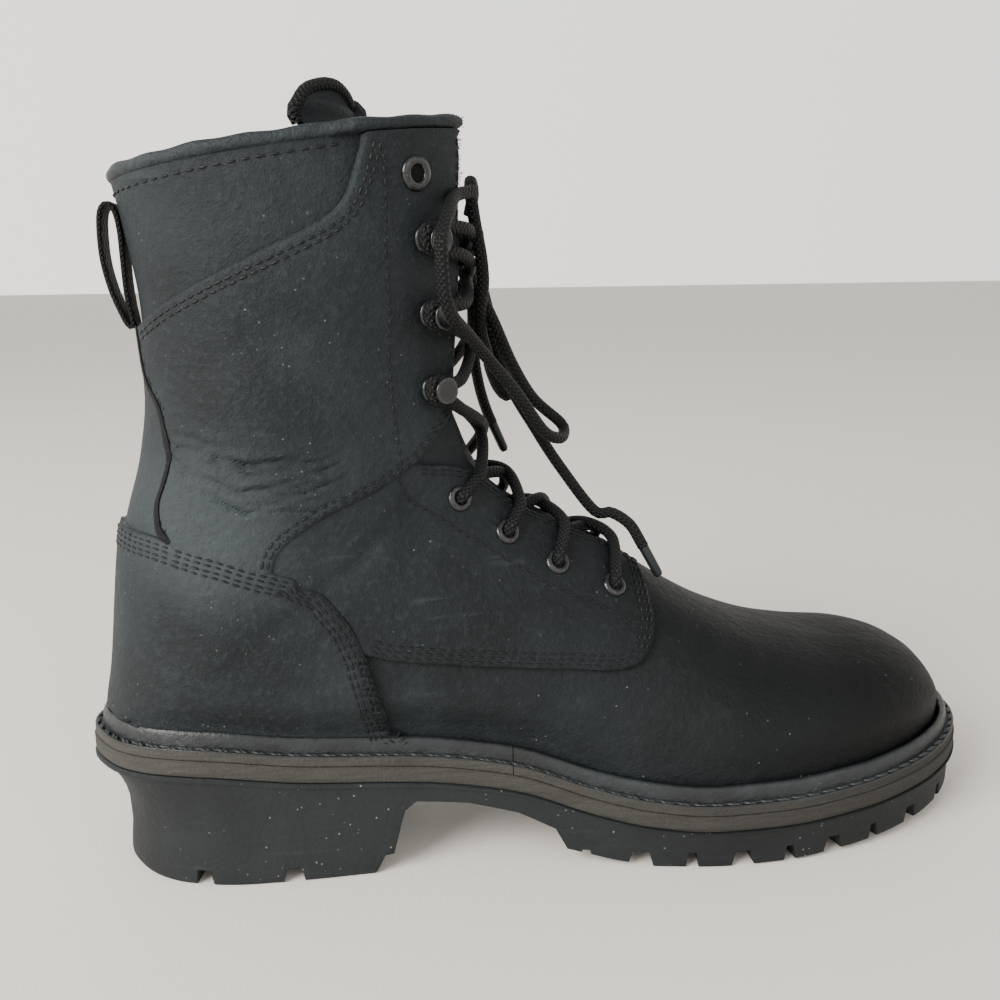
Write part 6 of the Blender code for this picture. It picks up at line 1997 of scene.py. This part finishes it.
ENDS = {
    "lace_end_lateral": (
        (0.043, 0.048, -0.155), (0.170, 0.119, -0.533), (0.296, 0.095, -0.766), (0.396, 0.060, -0.928),
        (0.525, 0.000, -1.105), (0.591, -0.036, -1.110), (0.660, -0.065, -1.155), (0.702, -0.085, -1.225),
        (0.774, -0.107, -1.368)),
    "lace_end_medial": (
        (0.040, 0.130, -0.100), (0.052, 0.220, -0.280), (0.066, 0.310, -0.450), (0.100, 0.360, -0.620),
        (0.150, 0.380, -0.760), (0.220, 0.390, -0.880)),
}


# Laces


def off_form(at, down, side, high):
    return Vector(lay(at, down, side, high)[0])


def facing_edge(at, side):
    """How far down the side the lace leaves the facing, just outside its edge."""
    return THROAT_HALF(at) * COLLAR_WIDTH / hoop(at).length(side) + FACING_INSET


def over_throat(at, side, lift):
    """Point of a crossing over the middle of the throat."""
    return off_form(at, 0.0001, side, LACE * (LACE_AT_MIDDLE + lift))


def out_of_hole(number, side):
    """Points from inside an eyelet, up over the leather and on to the facing's edge."""
    at, down, thick = EYELETS[number][:3]
    top = PANEL_SEAT + thick
    return [off_form(at - 0.03, down + 0.004, side, top - IN_HOLE), off_form(at - 0.01, down + 0.001, side, top),
            off_form(at + 0.03, down - 0.012, side, top + LACE * 0.42),
            off_form(at + 0.06, down - 0.045, side, top + LACE * 0.50)]


def under_facing(number, side, slant):
    """Points that pass under the facing's edge and come up to an eyelet from below."""
    at, down, thick = EYELETS[number][:3]
    edge = facing_edge(at, side)
    return [off_form(at - slant, edge - 0.028, side, -LACE * 0.30),
            off_form(at - slant * 0.7, edge + 0.012, side, -UPPER_WALL - LACE * 0.42),
            off_form(at, (edge + down) / 2.0, side, -UPPER_WALL - LACE * 0.40),
            off_form(at, down + 0.002, side, -UPPER_WALL - LACE * 0.1),
            off_form(at - 0.03, down + 0.004, side, PANEL_SEAT + thick - IN_HOLE)]


def eyelet_strand(number, side, lift):
    """Lace from one eyelet over the throat to the next one up on the other side."""
    low, high = EYELETS[number][0], EYELETS[number + 1][0]
    return out_of_hole(number, side) + [
        off_form(low + STRAND_SLANT * 0.6, facing_edge(low, side) + 0.008, side, PANEL_SEAT + PANEL + LACE * 0.50),
        over_throat((low + high) / 2.0, side, lift)] + under_facing(number + 1, -side, STRAND_SLANT)


def round_hook(number, side):
    """Points of the lace round the back of a hook's post, from below to above."""
    at, down = HOOKS[number]
    out = Vector(read_net(NET_OUT[side], [at], [down])[0])
    middle = off_form(at, down, side, PANEL_SEAT + SHAFT_PANEL + HARDWARE_SEAT + HOOK_HEIGHT * 0.49)
    forward = (off_form(at, down - 0.03, side, 0.0) - off_form(at, down, side, 0.0)).normalized()
    upward = out.cross(forward)
    if upward.z < 0.0:
        upward.negate()
    reach = HOOK_POST / 2.0 + LACE / 2.0
    return [middle + (forward * math.cos(math.radians(turn)) + upward * math.sin(math.radians(turn))) * reach
            for turn in (265, 222, 180, 138, 95)]


def hook_strand(side, lift):
    """Lace from the last low eyelet up over the hooks to the knot."""
    at = EYELETS[3][0]
    route = out_of_hole(3, side)
    route.append(off_form(at + STRAND_SLANT * 0.6, facing_edge(at, side) + 0.008, side,
                          PANEL_SEAT + PANEL + LACE * 0.5))
    for number, (high, _) in enumerate(HOOKS):
        route.append(over_throat((at + high) / 2.0 - HOOK_DROP, side, lift))
        side = -side
        route.append(off_form(high - HOOK_ARRIVE, facing_edge(high, side), side, LACE * LACE_AT_SHAFT))
        route += round_hook(number, side)
        route.append(off_form(high - HOOK_LEAVE, facing_edge(high, side), side, LACE * LACE_AT_SHAFT))
        at = high
    return route


def knot_mid():
    return Vector(KNOT) * COLLAR_WIDTH - Vector((0.0, 0.0, KNOT_SAG * LACE))


def make_runs():
    """The laced stretches over the throat, and the bar below the first pair of eyelets."""
    runs = []
    for first, lift in ((LATERAL, LACE_LIFT), (MEDIAL, 0.0)):
        side = first
        for number in range(3):
            runs.append(eyelet_strand(number, side, lift))
            side = -side
        runs.append(hook_strand(side, lift) + [knot_mid()])
    at, down, thick = EYELETS[0][:3]
    bar = [off_form(at - 0.03, down + 0.004, LATERAL, PANEL_SEAT + thick - IN_HOLE)]
    bar += [off_form(at, down * 0.8, LATERAL, -UPPER_WALL - LACE * 0.3), over_throat(at, LATERAL, -0.9),
            off_form(at, down * 0.8, MEDIAL, -UPPER_WALL - LACE * 0.3),
            off_form(at - 0.03, down + 0.004, MEDIAL, PANEL_SEAT + thick - IN_HOLE)]
    runs.append(bar)
    mesh = tubes_mesh("lace_runs", [(smooth_route(run, 0.0011), LACE / 2.0, False) for run in runs])
    piece("lace_runs", mesh, ("lace",), ("lace_crossings",), sharp=80.0)


def make_knot():
    """Wraps of the bow's knot, drawn tight."""
    middle = knot_mid()
    wraps = []
    for turns, start, wide, tall, lean in WRAPS:
        line = []
        for n in range(WRAP_POINTS + 1):
            a = start + 2.0 * math.pi * turns * n / WRAP_POINTS
            share = n / WRAP_POINTS - 0.5
            line.append(middle + Vector((
                share * 0.0062 + 0.0012 * math.sin(a), wide * math.cos(a) + lean * 0.002 * share,
                tall * math.sin(a) + lean * 0.004 * share)))
        wraps.append((smooth_route(line, 0.0009), LACE / 2.0, False))
    band = [middle + Vector((0.0036 * math.cos(a), 0.0032 * math.sin(a) + 0.0008, 0.0020 * math.sin(a) + 0.0006))
            for a in np.arange(12) * math.pi / 6.0]
    wraps.append((smooth_route(band, 0.0009, closed=True), LACE / 2.0, True))
    piece("bow_knot", tubes_mesh("bow_knot", wraps), ("lace",), ("lace_knot",), sharp=80.0)


def make_free_laces():
    """Loops and ends of the bow, each a cord, the ends with plastic tips."""
    centre = Vector(KNOT) * COLLAR_WIDTH
    for table in (LOOPS, ENDS):
        for name, rows in table.items():
            route = [centre + Vector(row) * COLLAR_WIDTH for row in rows]
            line = smooth_route(route, 0.0018)
            if table is ENDS:
                line = line[:-TIP_POINTS]
            mesh = tubes_mesh(name + "_cord", [(line, LACE / 2.0, False)])
            item = piece(name + "_cord", mesh, ("lace",), (name,), sharp=80.0)
            if table is ENDS:
                ahead = line[-1] - line[-3]
                ahead /= np.linalg.norm(ahead)
                tip = [line[-1] - ahead * 0.0002 + ahead * s for s in TIP_AT]
                shape = tubes_mesh(name + "_tip", [(tip, np.array(TIP_RADII), False)])
                extra = [piece(name + "_tip", shape, ("tip",))]


# Stage


CAMERA_PLACE = (0.0320, -0.3388, 0.1926)
CAMERA_TURN = 9.54
CAMERA_TIP = 12.207
CAMERA_ROLL = 0.014
LENS = 36.1
FLOOR_REACH = 40.0
# Name, place, power and size of each lamp, and the spot they all face.
LAMPS = (("key", (-1.35, -0.95, 1.00), 66.0, 1.1), ("fill", (0.9, -1.6, 1.3), 9.0, 1.6))
LIT_SPOT = Vector((0.06, 0.0, 0.10))


def studio_world():
    """Soft surroundings, brightest low down on the left and dark overhead."""
    world = bpy.data.worlds.new("studio")
    world.use_nodes = True
    tree = world.node_tree
    add = partial(add_node, tree)
    place = add("ShaderNodeTexCoord", {}, {})
    split = add("ShaderNodeSeparateXYZ", {}, {"Vector": place.outputs["Generated"]})
    side = add("ShaderNodeMapRange", {}, {
        "Value": split.outputs["X"], "From Min": -0.9, "From Max": 0.9, "To Min": 2.1, "To Max": 1.5})
    tall = add("ShaderNodeMapRange", {"interpolation_type": "SMOOTHSTEP"}, {
        "Value": split.outputs["Z"], "From Min": 0.25, "From Max": 0.75, "To Min": 1.0, "To Max": 0.30})
    power = add("ShaderNodeMath", {"operation": "MULTIPLY"}, {0: side.outputs["Result"], 1: tall.outputs["Result"]})
    ground = tree.nodes["Background"]
    ground.inputs["Color"].default_value = (1.0, 0.972, 0.925, 1.0)
    tree.links.new(power.outputs[0], ground.inputs["Strength"])
    return world


def make_stage():
    """Camera at the photograph's angle, plain pale floor and soft studio light."""
    turn, tip, roll = math.radians(CAMERA_TURN), math.radians(CAMERA_TIP), CAMERA_ROLL
    ahead = Vector((math.sin(turn) * math.cos(tip), math.cos(turn) * math.cos(tip), -math.sin(tip)))
    right = Vector((math.cos(turn), -math.sin(turn), 0.0))
    down = ahead.cross(right)
    across = (right + roll * down).normalized()
    upward = -(down - roll * right).normalized()
    camera = bpy.data.cameras.new("camera")
    camera.lens, camera.sensor_width = LENS, 36.0
    camera.clip_start, camera.clip_end = 0.01, 100.0
    view = bpy.data.objects.new("camera", camera)
    rows = [(across[k], upward[k], -ahead[k], CAMERA_PLACE[k]) for k in range(3)]
    view.matrix_world = Matrix((*rows, (0.0, 0.0, 0.0, 1.0)))
    bpy.context.scene.collection.objects.link(view)
    bpy.context.scene.camera = view
    corners = [(x * FLOOR_REACH, y * FLOOR_REACH, 0.0) for x, y in ((-1, -1), (1, -1), (1, 1), (-1, 1))]
    floor = loose_mesh("floor", corners, [(0, 1, 2, 3)])
    floor.materials.append(material("floor"))
    ground = bpy.data.objects.new("floor", floor)
    bpy.context.scene.collection.objects.link(ground)
    bpy.context.scene.world = studio_world()
    for name, place, power, size in LAMPS:
        lamp = bpy.data.lights.new(name, "AREA")
        lamp.energy, lamp.size = power, size
        lamp.color = (1.0, 0.975, 0.94)
        item = bpy.data.objects.new(name, lamp)
        item.location = place
        item.rotation_mode = "QUATERNION"
        item.rotation_quaternion = (LIT_SPOT - Vector(place)).to_track_quat("-Z", "Y")
        bpy.context.scene.collection.objects.link(item)


# Operators


class BOOT_OT_stage(bpy.types.Operator):
    """Make the camera, the pale floor and the soft lights"""

    bl_idname = "boot.stage"
    bl_label = "Stage"

    def execute(self, context):
        make_stage()
        return {"FINISHED"}


class BOOT_OT_laces(bpy.types.Operator):
    """Run the lace through the eyelets and over the hooks, and tie the bow"""

    bl_idname = "boot.laces"
    bl_label = "Laces"

    def execute(self, context):
        make_runs()
        make_knot()
        make_free_laces()
        return {"FINISHED"}


class BOOT_OT_sole(bpy.types.Operator):
    """Make the tread, the midsole, the welt with its stitches and the insole"""

    bl_idname = "boot.sole"
    bl_label = "Sole"

    def execute(self, context):
        make_outsole()
        layered("midsole_edge", MIDSOLE_ROWS, "midsole", "midsole")
        make_welt("welt_front", True)
        make_welt("welt_heel", False)
        welt_stitches()
        low = MIDSOLE + 3.0 * GAP
        reach = WELT_LEDGE + UPPER_WALL + INSOLE_REST
        rows = ((reach, low), (reach, low + INSOLE * 0.8), (reach + 0.0006, low + INSOLE))
        layered("insole_pad", rows, "insole", "insole", 80)
        return {"FINISHED"}


class BOOT_OT_upper(bpy.types.Operator):
    """Make the creased skin of the upper and the tongue behind its throat"""

    bl_idname = "boot.upper"
    bl_label = "Upper and tongue"

    def execute(self, context):
        make_upper()
        make_tongue()
        return {"FINISHED"}


class BOOT_OT_panels(bpy.types.Operator):
    """Lay the leather panels over the upper and sew them down"""

    bl_idname = "boot.panels"
    bl_label = "Panels and seams"

    def execute(self, context):
        make_panels()
        make_seams()
        return {"FINISHED"}


class BOOT_OT_collar(bpy.types.Operator):
    """Make the binding round the collar, its frayed ends and the pull loop"""

    bl_idname = "boot.collar"
    bl_label = "Collar"

    def execute(self, context):
        make_fray(make_binding())
        make_pull_loop()
        return {"FINISHED"}


class BOOT_OT_hardware(bpy.types.Operator):
    """Set the eyelets and the lace hooks"""

    bl_idname = "boot.hardware"
    bl_label = "Eyelets and hooks"

    def execute(self, context):
        make_hardware()
        return {"FINISHED"}


class BOOT_PT_panel(bpy.types.Panel):
    """Lists the boot's makers"""

    bl_idname = "BOOT_PT_panel"
    bl_label = "Work boot"
    bl_space_type = "VIEW_3D"
    bl_region_type = "UI"
    bl_category = "Boot"

    def draw(self, context):
        for name in BootSettings.__annotations__:
            self.layout.prop(context.scene.work_boot, name)
        for maker in MAKERS:
            self.layout.operator(maker.bl_idname)


MAKERS = (
    BOOT_OT_stage, BOOT_OT_laces, BOOT_OT_sole, BOOT_OT_upper, BOOT_OT_panels, BOOT_OT_collar, BOOT_OT_hardware)


def register():
    for made in (BootSettings, *MAKERS, BOOT_PT_panel):
        bpy.utils.register_class(made)
    bpy.types.Scene.work_boot = bpy.props.PointerProperty(type=BootSettings)


def unregister():
    del bpy.types.Scene.work_boot
    for made in reversed((BootSettings, *MAKERS, BOOT_PT_panel)):
        bpy.utils.unregister_class(made)


def main():
    register()
    for maker in MAKERS:
        group, name = maker.bl_idname.split(".")
        getattr(getattr(bpy.ops, group), name)()


if __name__ == "__main__":
    main()
